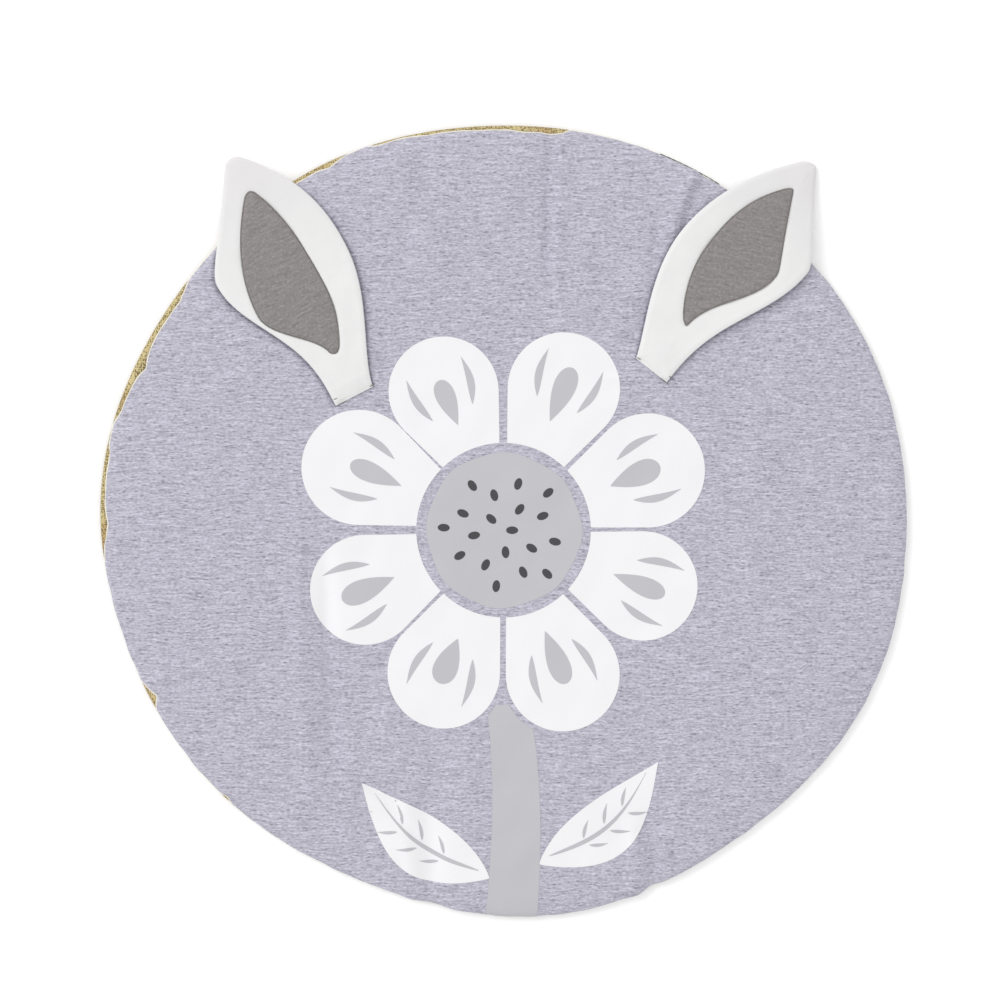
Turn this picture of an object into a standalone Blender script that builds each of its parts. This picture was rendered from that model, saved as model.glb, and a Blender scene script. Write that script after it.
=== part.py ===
"""A round padded baby play mat, lying flat: a jersey top panel with its padding, a printed backing whose
rim turns up to the edge seam, and two soft leaf flaps with a panel each, sewn on near the top.

Metres, +Z up. The origin is the middle of the mat's box on the floor, and +Y is the end with the flaps.
"""

import math

import bmesh
import bpy
from mathutils import Vector

# Outline of the mat. Each wave adds height * cos(order * (bearing - crest)) to the mean radius.
MEAN_RADIUS = 0.4454
OUTLINE_WAVES = (
    # order, height, crest in degrees
    (2, 0.0049, -8.6),
    (3, 0.0012, 52),
    (4, 0.0013, 7),
    (5, 0.0014, -21.5),
    (6, 0.0011, -18),
    (7, 0.0019, 20),
)
COLUMNS = 96  # sections round the mat

# Cross-section. The rim is half of an ellipse, and the top rises from it to a low crown.
RIM_REACH = 0.013
RIM_HALF_HEIGHT = 0.0065
RIM_TOP_ANGLE = 73  # where the rim's slope meets the slope of the shoulder
SHOULDER_RISE = 0.005
SHOULDER_LENGTH = 0.035
CROWN_RISE = 0.004
BACKING_THICKNESS = 0.0016
GAP = 0.00053  # between the padding and the backing

# The edge seam runs round the rim at this angle above the rim's widest line, so the backing shows from above
# where the angle is large and the top panel covers the rim where it is below zero.
SEAM_ROLL = (
    # bearing, angle in degrees
    (0, -35),
    (40, -30),
    (60, -12),
    (76, 12),
    (86, 56),
    (97, 40),
    (108, 32),
    (118, 42),
    (134, 39),
    (150, 50),
    (158, 58),
    (167, 38),
    (181, 52),
    (190, 8),
    (198, -18),
    (207, 18),
    (217, -20),
    (240, -30),
    (300, -35),
)
SEAM_STEP = 12  # degrees of rim over which the top panel turns into the seam
SEAM_OPENING = 3  # degrees between the backing's edge and that turn
RIM_STEPS = 5  # facets up the backing's rim, which the padding's follow so that the gap stays even

# Soft rises and hollows of the padding, each a bell of this reach.
UNDULATIONS = (
    # x, y, reach, height
    (-0.27, 0.02, 0.090, 0.0012),
    (0.28, -0.06, 0.100, 0.0010),
    (0.00, 0.06, 0.120, 0.0010),
    (-0.20, -0.21, 0.050, -0.0014),
    (-0.09, -0.35, 0.040, -0.0012),
    (0.16, -0.35, 0.045, -0.0010),
    (0.04, 0.35, 0.045, -0.0012),
)
FADE_LENGTH = 0.040  # the bells fade out over this distance from the rim

# Leaf flaps, sewn on by the base, each with its fuller edge on the outer side. The edges are measured from
# the flap's middle line: an edge flares from its start to its widest and falls to its end.
FLAPS = {
    # side: which way the outer edge lies, base x, base y, bearing in degrees, length
    "left": (1, -0.1647, 0.1395, 117.3, 0.300),
    "right": (-1, 0.1666, 0.1658, 51.9, 0.296),
}
FLAP_EDGES = {
    # side: start, widest, share of the length at the widest, end, flare, fall, for the outer and inner edge
    "left": ((0.0243, 0.0810, 0.610, 0.0080, 2.90, 1.05), (0.0228, 0.0674, 0.508, 0.0060, 1.40, 2.30)),
    "right": ((0.0190, 0.0675, 0.660, 0.0060, 2.65, 0.95), (0.0248, 0.0724, 0.480, 0.0080, 1.15, 1.97)),
}
FLAP_EDGE_THICKNESS = 0.0022
FLAP_PLUMPNESS = 0.0036  # added to the edge thickness inside
FLAP_ROUNDING = 0.007  # how fast the plumpness builds up from the edge
FLAP_LIFT = 0.0005  # above the top panel where the flap lies on it
DRAPE_START = 0.045  # inside the outline, where the flap leaves the top panel
DRAPE_FALL = 0.44  # curvature of the droop, per metre

# The panel on each flap. Its axis runs this far outwards from the flap's middle line, and its own edges are
# measured from that axis.
PANELS = {
    # side: start from the flap's base, length, axis at the start, axis at the end
    "left": (0.0520, 0.2045, -0.0035, 0.0014),
    "right": (0.0630, 0.1940, -0.0037, -0.0037),
}
PANEL_EDGES = {
    "left": ((0.0040, 0.0565, 0.380, 0.0020, 1.90, 1.90), (0.0020, 0.0241, 0.364, 0.0020, 0.72, 3.00)),
    "right": ((0.0020, 0.0450, 0.560, 0.0020, 1.90, 1.00), (0.0020, 0.0359, 0.449, 0.0020, 0.75, 2.60)),
}
PANEL_THICKNESS = 0.001
PANEL_LIFT = 0.0006  # above the flap


def outline_radius(bearing):
    """Distance from the hub to the widest line of the rim. Bearings are in degrees."""
    radius = MEAN_RADIUS
    for order, height, crest in OUTLINE_WAVES:
        radius += height * math.cos(math.radians(order * (bearing - crest)))
    return radius


def bearings():
    return [360 * column / COLUMNS for column in range(COLUMNS)]


def hub():
    """The point the bearings are taken from, placed so that the outline's box is centred on the origin."""
    xs = [outline_radius(b) * math.cos(math.radians(b)) for b in bearings()]
    ys = [outline_radius(b) * math.sin(math.radians(b)) for b in bearings()]
    return Vector((-(min(xs) + max(xs)) / 2, -(min(ys) + max(ys)) / 2))


HUB = hub()


def seam_angle(bearing):
    """Angle of the edge seam round the rim, eased from row to row of SEAM_ROLL."""
    rows = [*SEAM_ROLL, (360 + SEAM_ROLL[0][0], SEAM_ROLL[0][1])]
    for (first, low), (last, high) in zip(rows, rows[1:]):
        if first <= bearing <= last:
            share = (bearing - first) / (last - first)
            return low + (high - low) * (1 - math.cos(math.pi * share)) / 2
    return rows[0][1]


def shoulder_radius(bearing):
    """Where the rim ends and the top surface begins."""
    return outline_radius(bearing) - RIM_REACH * (1 - math.cos(math.radians(RIM_TOP_ANGLE)))


def top_height(x, y):
    """Height of the top surface inside the shoulder."""
    from_hub = Vector((x, y)) - HUB
    radius = from_hub.length
    edge = shoulder_radius(math.degrees(math.atan2(from_hub.y, from_hub.x)))
    inside = max(edge - radius, 0)
    base = RIM_HALF_HEIGHT * (1 + math.sin(math.radians(RIM_TOP_ANGLE)))
    shoulder = SHOULDER_RISE * (1 - math.exp(-inside / SHOULDER_LENGTH))
    crown = CROWN_RISE * (1 - (min(radius, edge) / edge) ** 2)
    bells = 0
    for bell_x, bell_y, reach, height in UNDULATIONS:
        bells += height * math.exp(-((x - bell_x) ** 2 + (y - bell_y) ** 2) / (2 * reach**2))
    return base + shoulder + crown + bells * (1 - math.exp(-inside / FADE_LENGTH))


def lying_height(x, y):
    """Underside of a flap: on the top surface, then leaving it before the rim and drooping past it."""
    from_hub = Vector((x, y)) - HUB
    bearing = math.degrees(math.atan2(from_hub.y, from_hub.x))
    start = outline_radius(bearing) - DRAPE_START
    past = from_hub.length - start
    if past <= 0:
        return top_height(x, y) + FLAP_LIFT
    outwards = from_hub.normalized()
    leaving = HUB + outwards * start
    just_inside = HUB + outwards * (start - 0.001)
    height = top_height(*leaving)
    slope = (height - top_height(*just_inside)) / 0.001
    return height + FLAP_LIFT + slope * past - DRAPE_FALL * past**2


def on_rim(bearing, angle, inset):
    """A point of the rim's ellipse, drawn in by inset."""
    across = outline_radius(bearing) - RIM_REACH + (RIM_REACH - inset) * math.cos(math.radians(angle))
    up = RIM_HALF_HEIGHT + (RIM_HALF_HEIGHT - inset) * math.sin(math.radians(angle))
    return polar(bearing, across, up)


def polar(bearing, radius, height):
    turn = math.radians(bearing)
    return Vector((HUB.x + radius * math.cos(turn), HUB.y + radius * math.sin(turn), height))


def between(first, last, steps):
    return [first + (last - first) * step / steps for step in range(steps + 1)]


def material(name, colour, roughness):
    """Plain Principled finish. The colour is linear."""
    made = bpy.data.materials.new(name)
    made.use_nodes = True
    shader = made.node_tree.nodes["Principled BSDF"]
    shader.inputs["Base Color"].default_value = (*colour, 1)
    shader.inputs["Roughness"].default_value = roughness
    shader.inputs["Metallic"].default_value = 0
    made.diffuse_color = (*colour, 1)
    return made


def piece(name, bm, finish):
    """Turns the closed bmesh into an object, with its faces out and shaded smooth."""
    bmesh.ops.recalc_face_normals(bm, faces=bm.faces)
    mesh = bpy.data.meshes.new(name)
    bm.to_mesh(mesh)
    bm.free()
    mesh.shade_smooth()
    mesh.set_sharp_from_angle(angle=math.radians(50))
    made = bpy.data.objects.new(name, mesh)
    made.data.materials.append(finish)
    bpy.context.scene.collection.objects.link(made)
    return made


def closed_by_rings(rings, first_centre, last_centre):
    """A closed surface through the rings, in order, with a fan to a centre point at each end."""
    bm = bmesh.new()
    rows = [[bm.verts.new(point) for point in ring] for ring in rings]
    for one, other in zip(rows, rows[1:]):
        for i in range(COLUMNS):
            j = (i + 1) % COLUMNS
            bm.faces.new((one[i], one[j], other[j], other[i]))
    for row, centre in ((rows[0], first_centre), (rows[-1], last_centre)):
        hub_vertex = bm.verts.new(centre)
        for i in range(COLUMNS):
            bm.faces.new((row[i], row[(i + 1) % COLUMNS], hub_vertex))
    return bm


def top_ring(inside):
    """Points of the top surface this far inside the shoulder."""
    ring = []
    for bearing in bearings():
        flat = polar(bearing, shoulder_radius(bearing) - inside, 0)
        ring.append(Vector((flat.x, flat.y, top_height(flat.x, flat.y))))
    return ring


def rim_ring(angle_at, inset):
    """Points round the rim, where angle_at gives the angle from the seam's angle there."""
    return [on_rim(bearing, angle_at(seam_angle(bearing)), inset) for bearing in bearings()]


def below_seam(seam, share):
    """Angle this share of the way up the backing's rim, from the floor to its edge."""
    return -90 + (seam - SEAM_OPENING + 90) * share


def flat_ring(share, height):
    """A level ring at this share of the flat underside's radius."""
    return [polar(bearing, share * (outline_radius(bearing) - RIM_REACH), height) for bearing in bearings()]


def padded_body(finish):
    """The top panel and its padding. Below the seam it is drawn in, to lie inside the backing."""
    inset = BACKING_THICKNESS + GAP
    insides = (0.400, 0.350, 0.300, 0.255, 0.210, 0.170, 0.135, 0.100, 0.070, 0.045, 0.026, 0.012, 0)
    rings = [top_ring(inside) for inside in insides]
    for share in between(0, 1, 4)[1:]:
        rings.append(rim_ring(lambda seam: RIM_TOP_ANGLE + (seam + SEAM_STEP - RIM_TOP_ANGLE) * share, 0))
    rings.append(rim_ring(lambda seam: seam, inset))
    for share in between(1, 0, RIM_STEPS):
        rings.append(rim_ring(lambda seam: below_seam(seam, share), inset))
    rings.append(flat_ring(0.5, inset))
    top_centre = Vector((HUB.x, HUB.y, top_height(HUB.x, HUB.y)))
    return piece("padded_body", closed_by_rings(rings, top_centre, polar(0, 0, inset)), finish)


def backing_sheet(finish):
    """The backing: flat on the floor, with a rim that turns up to the seam."""
    rings = [flat_ring(0.5, 0)]
    for share in between(0, 1, RIM_STEPS):
        rings.append(rim_ring(lambda seam: below_seam(seam, share), 0))
    for share in between(1, 0, RIM_STEPS):
        rings.append(rim_ring(lambda seam: below_seam(seam, share), BACKING_THICKNESS))
    rings.append(flat_ring(0.5, BACKING_THICKNESS))
    bm = closed_by_rings(rings, polar(0, 0, 0), polar(0, 0, BACKING_THICKNESS))
    return piece("backing_sheet", bm, finish)


def edge_distance(share, start, widest, widest_at, end, flare, fall):
    """How far an edge lies from the middle line, this share of the way along."""
    if share < widest_at:
        return start + (widest - start) * math.sin(math.pi / 2 * share / widest_at) ** flare
    return end + (widest - end) * (1 - ((share - widest_at) / (1 - widest_at)) ** fall)


def flap_edge(side, along, aside):
    """Distance of the flap's edge on the side that aside lies on."""
    share = min(max(along / FLAPS[side][-1], 0), 1)
    return edge_distance(share, *FLAP_EDGES[side][0 if aside > 0 else 1])


def panel_edge(side, along, aside):
    """Distance of the panel's edge from its axis, on the side that aside lies on."""
    start, length = PANELS[side][:2]
    share = min(max((along - start) / length, 0), 1)
    return edge_distance(share, *PANEL_EDGES[side][0 if aside > 0 else 1])


def panel_axis(side, along):
    """Where the panel's axis lies, this far along the flap."""
    start, length, first, last = PANELS[side]
    return first + (last - first) * (along - start) / length


def flap_thickness(side, along, aside):
    """Thickness of the flap, thin at its edge."""
    inside = min(flap_edge(side, along, aside) - abs(aside), along, FLAPS[side][-1] - along)
    return FLAP_EDGE_THICKNESS + FLAP_PLUMPNESS * (1 - math.exp(-max(inside, 0) / FLAP_ROUNDING))


def closed_sheet(alongs, edge, shares, levels):
    """A closed solid between two surfaces. Each along is a row, and the shares run across it from -1 to 1."""
    bm = bmesh.new()
    sides = []
    for level in levels:
        rows = [[bm.verts.new(level(a, share * edge(a, share))) for share in shares] for a in alongs]
        for one, other in zip(rows, rows[1:]):
            for i in range(len(shares) - 1):
                bm.faces.new((one[i], one[i + 1], other[i + 1], other[i]))
        right = [row[-1] for row in rows[1:]]
        left = [row[0] for row in rows[-2:0:-1]]
        sides.append(rows[0] + right + rows[-1][-2::-1] + left)
    lower, upper = sides
    for i in range(len(lower)):
        j = (i + 1) % len(lower)
        bm.faces.new((lower[i], lower[j], upper[j], upper[i]))
    return bm


def leaf_flap(side, flap_finish, panel_finish):
    """One flap and its panel, lying as the surface below them does."""
    outwards, base_x, base_y, bearing, length = FLAPS[side]
    turn = math.radians(bearing)
    onwards = Vector((math.cos(turn), math.sin(turn)))
    across = Vector((-math.sin(turn), math.cos(turn))) * outwards

    def lying(along, aside, height):
        flat = Vector((base_x, base_y)) + onwards * along + across * aside
        return Vector((flat.x, flat.y, lying_height(flat.x, flat.y) + height))

    def panel_level(along, aside, height):
        from_middle = aside + panel_axis(side, along)
        return lying(along, from_middle, flap_thickness(side, along, from_middle) + PANEL_LIFT + height)

    flap = closed_sheet(
        between(0, length, 20),
        lambda a, w: flap_edge(side, a, w),
        (-1, -0.9, -0.7, -0.35, 0, 0.35, 0.7, 0.9, 1),
        (lambda a, w: lying(a, w, 0), lambda a, w: lying(a, w, flap_thickness(side, a, w))),
    )
    start, panel_length = PANELS[side][:2]
    panel = closed_sheet(
        between(start, start + panel_length, 14),
        lambda a, w: panel_edge(side, a, w),
        (-1, -0.75, -0.4, 0, 0.4, 0.75, 1),
        (lambda a, w: panel_level(a, w, 0), lambda a, w: panel_level(a, w, PANEL_THICKNESS)),
    )
    piece(f"leaf_flap_{side}", flap, flap_finish)
    piece(f"leaf_panel_{side}", panel, panel_finish)


def main():
    for obj in list(bpy.data.objects):
        bpy.data.objects.remove(obj)
    marl = material("marl jersey", (0.50, 0.49, 0.57), 0.9)
    mustard = material("flecked backing cotton", (0.46, 0.34, 0.14), 0.85)
    white = material("white brushed cotton", (0.82, 0.82, 0.82), 0.9)
    taupe = material("taupe marl jersey", (0.29, 0.27, 0.26), 0.9)
    padded_body(marl)
    backing_sheet(mustard)
    for side in FLAPS:
        leaf_flap(side, white, taupe)


main()
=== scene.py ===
import math

import bmesh
import bpy
import numpy as np
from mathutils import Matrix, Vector
from mathutils.geometry import delaunay_2d_cdt


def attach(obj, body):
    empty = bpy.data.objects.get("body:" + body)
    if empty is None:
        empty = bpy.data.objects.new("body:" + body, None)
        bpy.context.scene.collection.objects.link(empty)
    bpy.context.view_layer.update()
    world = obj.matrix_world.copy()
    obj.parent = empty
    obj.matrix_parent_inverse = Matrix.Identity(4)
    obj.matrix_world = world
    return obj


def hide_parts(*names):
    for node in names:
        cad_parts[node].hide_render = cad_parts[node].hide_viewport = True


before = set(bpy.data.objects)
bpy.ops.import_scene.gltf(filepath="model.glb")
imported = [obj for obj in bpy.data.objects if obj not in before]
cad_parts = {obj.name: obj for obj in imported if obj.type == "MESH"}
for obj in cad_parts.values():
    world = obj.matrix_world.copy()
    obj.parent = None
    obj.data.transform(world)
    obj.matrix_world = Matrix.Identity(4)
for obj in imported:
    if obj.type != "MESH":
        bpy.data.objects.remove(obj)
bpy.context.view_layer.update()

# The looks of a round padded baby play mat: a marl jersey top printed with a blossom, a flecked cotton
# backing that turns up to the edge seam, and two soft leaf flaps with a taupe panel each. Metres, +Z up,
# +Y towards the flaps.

MM = 0.001

# ---- The mat's shape -----------------------------------------------------------------------------

MEAN_RADIUS = 0.4454
OUTLINE_WAVES = (
    # order, height, crest in degrees
    (2, 0.0049, -8.6),
    (3, 0.0012, 52),
    (4, 0.0013, 7),
    (5, 0.0014, -21.5),
    (6, 0.0011, -18),
    (7, 0.0019, 20),
)

# Cross-section: the rim is half of an ellipse, and the top rises from it to a low crown.
RIM_REACH = 0.013
RIM_HALF_HEIGHT = 0.0065
RIM_TOP_ANGLE = 73
SHOULDER_RISE = 0.005
SHOULDER_LENGTH = 0.035
CROWN_RISE = 0.004
BACKING_THICKNESS = 0.0016

# Soft rises and hollows of the padding, each a bell of this reach.
UNDULATIONS = (
    # x, y, reach, height
    (-0.27, 0.02, 0.090, 0.0012),
    (0.28, -0.06, 0.100, 0.0010),
    (0.00, 0.06, 0.120, 0.0010),
    (-0.20, -0.21, 0.050, -0.0014),
    (-0.09, -0.35, 0.040, -0.0012),
    (0.16, -0.35, 0.045, -0.0010),
    (0.04, 0.35, 0.045, -0.0012),
)
FADE_LENGTH = 0.040

# Where the edge seam lies, as seen from above: this far inside the mat's outline, in millimetres. Below
# zero it is out of sight under the rim.
SEAM_PLACE = (
    # bearing, inset
    (0, -2.4),
    (40, -1.8),
    (58, -0.8),
    (66, -0.4),
    (77, -0.2),
    (80.4, 0.2),
    (82, 5.2),
    (84.5, 6.6),
    (87.3, 7.0),
    (90, 4.6),
    (94, 4.4),
    (98, 3.2),
    (101, 3.2),
    (105, 1.8),
    (109, 1.6),
    (111, -0.6),
    (113, 0.2),
    (116, 3.6),
    (121, 4.2),
    (132, 2.0),
    (136, 0.2),
    (140, 0.4),
    (142.5, 0.0),
    (145, 3.6),
    (149, 6.4),
    (154, 4.4),
    (160, 6.4),
    (164, 5.0),
    (167, 0.6),
    (169, 1.2),
    (171, 4.4),
    (176, 4.8),
    (182, 5.0),
    (184.6, 2.0),
    (187, -0.9),
    (192, -0.6),
    (200, -0.6),
    (212, -0.9),
    (221, -0.3),
    (226, -0.2),
    (230, -1.2),
    (260, -2.0),
    (300, -2.4),
)
# Where the seam is pulled in, so that the jersey beside it is gathered into a short pucker.
SEAM_NOTCHES = (
    # bearing, extra inset in mm, lead-in and lead-out in degrees, pucker length in mm
    (82.6, 0.9, 1.4, 2.0, 14),
    (116.9, 2.8, 2.2, 2.4, 18),
    (146.4, 2.6, 2.6, 2.6, 26),
    (157.4, 6.5, 6.5, 3.4, 34),
    (180.8, 3.4, 3.6, 3.2, 20),
    (207.0, 9.0, 3.6, 2.2, 46),
    (225.0, 2.4, 1.6, 1.6, 16),
)
NOTCH_POWER = 1.6  # above 1, so that a notch begins softly and is sharp in its middle
GROOVE_DEPTH = 0.0010
GROOVE_WIDTH = 0.0022

# Creases of the jersey over its padding: troughs have a height below zero.
CREASES = (
    # x and y of one end, x and y of the other, sideways bow, half-width, height, all in mm
    (51, 448, 49, 246, 0, 6.0, -3.80),
    (63, 440, 60, 270, 0, 7.0, 1.30),
    (-228, 40, -214, -316, -5, 9.0, 3.40),
    (-198, -20, -186, -310, -3, 10.0, -4.20),
    (-386, -108, -380, -210, 2, 5.5, 1.90),
    (-377, -112, -372, -204, 2, 5.5, -1.50),
    (-88, -290, -80, -446, 3, 12.0, -3.60),
    (-112, -310, -104, -438, 3, 9.0, 1.80),
    (160, -320, 170, -438, 2, 8.0, -3.40),
    (140, -330, 150, -438, 2, 8.0, 2.20),
    (229, 391, 197, 315, -2, 6.5, -3.60),
    (216, 393, 185, 319, -2, 6.0, 2.40),
    (177, 352, 166, 280, -2, 6.5, -2.80),
    (-196, -286, -104, -366, 5, 5.0, 2.60),
    (-184, -270, -96, -350, 5, 5.0, -4.00),
    (-172, -262, -104, -326, 4, 6.4, 0.95),
    (-404, 168, -352, 150, 3, 4.6, -1.70),
    (-388, -190, -330, -168, -3, 5.5, -1.50),
    (-392, -176, -350, -150, -3, 7.4, 1.30),
    (-300, -60, -292, -236, -8, 13.0, 1.20),
    (-120, 372, -104, 300, 4, 8.0, -1.00),
    (352, 60, 362, -110, 8, 20.0, -1.60),
    (330, -120, 356, -210, -6, 16.0, 1.60),
    (286, 140, 300, -20, -6, 15.0, 1.00),
    (-146, 132, -108, 96, 3, 4.6, -1.50),
    (112, 160, 148, 152, 2, 4.6, 1.30),
)

# Low ripples all over the top, which die out at the seam.
RIPPLE_HEIGHT = 0.00030
RIPPLE_SEED = 5
RIPPLE_WAVES = 22
RIPPLE_LENGTHS = (0.034, 0.105)
RIPPLE_FADE = 0.012

# Small folds that run in from the seam: how many go round the mat, and their phase in radians.
PUCKER_FOLDS = (
    (41, 0.4),
    (57, 2.1),
    (73, 4.0),
    (97, 1.2),
)
PUCKER_HEIGHT = 0.00040
PUCKER_REACH = 0.016

# A pucker at a notch is a dent between two lower ridges.
DENT_SHARE = 0.11  # its depth for the notch's extra inset, both in millimetres
DENT_POWER = 0.9
DENT_WIDTH = 0.0045
RIDGE_SHARE = 0.55
RIDGE_ASIDE = 0.010
RIDGE_WIDTH = 0.006

# ---- The leaf flaps ------------------------------------------------------------------------------

# One pattern that lies a little differently on each side. The edges are measured from the flap's middle
# line: an edge flares from its start to its widest, turns there as softly as its corner says, and falls to
# its end, where the tip is rounded off.
FLAPS = {
    # side: which way the outer edge lies, base x, base y, bearing in degrees, length, rounding of the tip
    "left": (1, -0.1647, 0.1395, 117.3, 0.3010, 0.004),
    "right": (-1, 0.1666, 0.1658, 51.9, 0.2958, 0.006),
}
FLAP_EDGES = {
    "left": (
        # start, widest, share of the length there, end, flare, fall, corner
        (0.0245, 0.0810, 0.600, 0.0092, 3.05, 0.80, 0.24),  # outer edge
        (0.0219, 0.0674, 0.509, 0.0040, 1.37, 2.32, 0),  # inner edge
    ),
    "right": (
        (0.0186, 0.0670, 0.655, 0.0024, 2.76, 0.80, 0.23),
        (0.0246, 0.0724, 0.482, 0.0097, 1.14, 1.97, 0),
    ),
}
# How far each flap's outer and inner edge curl up off the mat.
EDGE_LIFTS = {
    "left": (0.0028, 0.0038),
    "right": (0.0040, 0.0040),
}
LIFTED_SHARE = 0.9  # of the flap's length, over which its edges are lifted
LIFT_POWER = 3  # how closely the lift keeps to the edges
SLIMMEST_HALF = 0.004  # the flap's half-width that a lift is shared out over at the tip
# How deep each flap's outer and inner edge bed into the padding.
BED_DEPTHS = {
    "left": (0.0042, 0.0016),
    "right": (0.0017, 0.0016),
}
BED_WIDTH = 0.0013
BED_FADE = 0.008  # the beds die out this far inside the edge seam

FLAP_EDGE_THICKNESS = 0.0022
FLAP_EDGE_MIDDLE = 0.60  # where the two layers meet, as a share of that thickness
FLAP_EDGE_TUCK = 0.58  # how far the underside turns up to meet them
FLAP_PLUMPNESS = 0.0036
FLAP_ROUNDING = 0.007
FLAP_LIFT = 0.0005
FLAP_EDGE_ROUNDING = 0.0010

# The turned-in edge makes a low ridge round the flap.
FLAP_SEAM_BULK = 0.0004
FLAP_SEAM_INSET = 0.0045
FLAP_SEAM_WIDTH = 0.0035

# Low ripples of the padding, none of them at the edge.
FLAP_RIPPLE_HEIGHT = 0.00035
FLAP_RIPPLE_WAVES = 9
FLAP_RIPPLE_LENGTHS = (0.030, 0.080)
FLAP_RIPPLE_FADE = 0.02

# The base is gathered by its seam and flattened by its stitches.
GATHER_HEIGHT = 0.00035
GATHER_RADIAN = 0.0072  # of the base's width for each radian of the gathers' wave
GATHER_REACH = 0.022
BASE_SHARE = 0.40  # of the full thickness, at the very edge
BASE_REACH = 0.016
BASE_POWER = 0.7

# Past the rim's start the flap leaves the top and droops.
DRAPE_START = 0.045
DRAPE_FALL = 0.44

DRAW_REACH = 0.012  # the top's mesh is drawn in this close to the flaps' edges
DRAW_POWER = 1.8

# The panel on each flap. Its axis runs this far outwards from the flap's middle line, and its own edges are
# measured from that axis.
PANELS = {
    # side: start from the flap's base, length, axis at the start, axis at the end
    "left": (0.0520, 0.2045, -0.0035, 0.0014),
    "right": (0.0630, 0.1940, -0.0037, -0.0037),
}
PANEL_EDGES = {
    "left": (
        # the same columns as for the flaps' edges
        (0.0059, 0.0570, 0.370, 0.0041, 1.86, 1.96, 0),  # outer edge
        (0.0010, 0.0241, 0.364, 0.0030, 0.72, 3.04, 0),  # inner edge
    ),
    "right": (
        (0.0010, 0.0449, 0.543, 0.0010, 1.98, 0.85, 0.14),
        (0.0010, 0.0359, 0.449, 0.0021, 0.73, 2.60, 0),
    ),
}
PANEL_ROUNDING = 0.004  # of both its ends
PANEL_THICKNESS = 0.0010
PANEL_CLEARANCE = 0.0003  # between the flap and the panel that lies on it
PANEL_GRAINS = {"left": 0, "right": 28}  # how far its courses turn from square to the flap, in degrees

# The stitching sinks the flap, and the panel's edge with it.
SINK_DEPTH = 0.0009
FLAP_SINK_WIDTH = 0.0028
PANEL_SINK_WIDTH = 0.0026
SINK_SPACING = 0.0015  # between the points of the panel's border that this is measured from

# Dark thread tacks at the corners of each flap's base, in millimetres along the flap and aside of its
# middle line. The first of each side, the long one along the base's edge at the outer corner, is painted
# shade of the base's fold there.
CORNER_TACKS_AND_FOLD_SHADE = {
    "left": (
        # along and aside of one end, along and aside of the other
        (-0.8, 11.0, -0.4, 22.0),
        (6.6, 16.5, 7.2, 23.5),
        (1.8, -24.0, 1.6, -19.0),
    ),
    "right": (
        (-0.5, 9.5, -0.5, 23.0),
        (7.0, 16.0, 7.2, 24.0),
        (1.6, -24.5, 1.9, -19.5),
    ),
}

# Dark thread at the rim's widest line, in lengths from bearing to bearing: a painted shadow where the
# seam's shade falls.
RIM_SHADOW_RUNS = (
    (57.4, 58.4),
    (59.2, 61.2),
    (61.6, 67.0),
)
RIM_TACK_ANGLE = 12  # above the widest line, round the rim
RIM_TACK_LENGTH = 0.9  # in degrees of bearing
RIM_TACK_OVERLAP = 1.15  # each stitch runs on into the next

# ---- The print -----------------------------------------------------------------------------------

BLOSSOM_CENTRE = (0.0, -0.010)
PETALS = 8
PETAL_GAP = 0.0060
PETAL_ROUND = 0.171  # distance of a petal's round end from the middle
PETAL_INNER = 0.097
PETAL_UNEVENNESS = 0.025  # of that distance, from one petal to the next
EYE_RADIUS = 0.086
EYE_WAVES = (
    # how many round the eye, height as a share of its radius, phase in radians
    (8, 0.012, 0.5),
    (3, 0.008, 0.0),
)
SEEDS = 19
SEED_SIZE = (0.0135, 0.0085)
SEED_SPACING = 0.0160  # this times the square root of a seed's number is how far out it lies
SEED_TURN = 137.5  # from one seed to the next, in degrees
PRINT_SPACING = 0.0040  # between the points that carry the print over the creases
OUTLINE_SPACING = 0.0018  # between those along the prints' outlines
INK_THICKNESS = 0.00015
FIRST_PASS = 0.00030  # level above the jersey of the white and the grey ground
SECOND_PASS = 0.00048  # level of what is printed over them


def rows(table):
    """A table's columns, each as an array."""
    return np.array(table, float).T


def turned(points, bearing, origin=(0.0, 0.0)):
    """Points turned by a bearing about (0, 0) and then moved to the origin given."""
    turn = math.radians(bearing)
    x, y = points[:, 0], points[:, 1]
    turned_x = origin[0] + x * math.cos(turn) - y * math.sin(turn)
    turned_y = origin[1] + x * math.sin(turn) + y * math.cos(turn)
    return np.stack((turned_x, turned_y), -1)


def eased(x, at, values, period):
    """Values at x, eased by half a cosine from row to row of a table that closes on itself."""
    at = np.append(at, at[0] + period)
    values = np.append(values, values[0])
    x = np.mod(x - at[0], period) + at[0]
    row = np.clip(np.searchsorted(at, x, side="right") - 1, 0, len(at) - 2)
    share = (x - at[row]) / (at[row + 1] - at[row])
    return values[row] + (values[row + 1] - values[row]) * (1 - np.cos(np.pi * share)) / 2


def outline_radius(bearing):
    """Distance from the hub to the mat's outline. Bearings are in degrees."""
    waves = 0
    for order, height, crest in OUTLINE_WAVES:
        waves = waves + height * np.cos(np.radians(order * (bearing - crest)))
    return MEAN_RADIUS + waves


def hub():
    """The point that bearings are taken from: the outline's box is then centred on the origin."""
    turn = np.linspace(0, 360, 1441)
    x = outline_radius(turn) * np.cos(np.radians(turn))
    y = outline_radius(turn) * np.sin(np.radians(turn))
    return np.array((-(x.min() + x.max()) / 2, -(y.min() + y.max()) / 2))


HUB = hub()
SHOULDER_INSET = RIM_REACH * (1 - math.cos(math.radians(RIM_TOP_ANGLE)))

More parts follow.
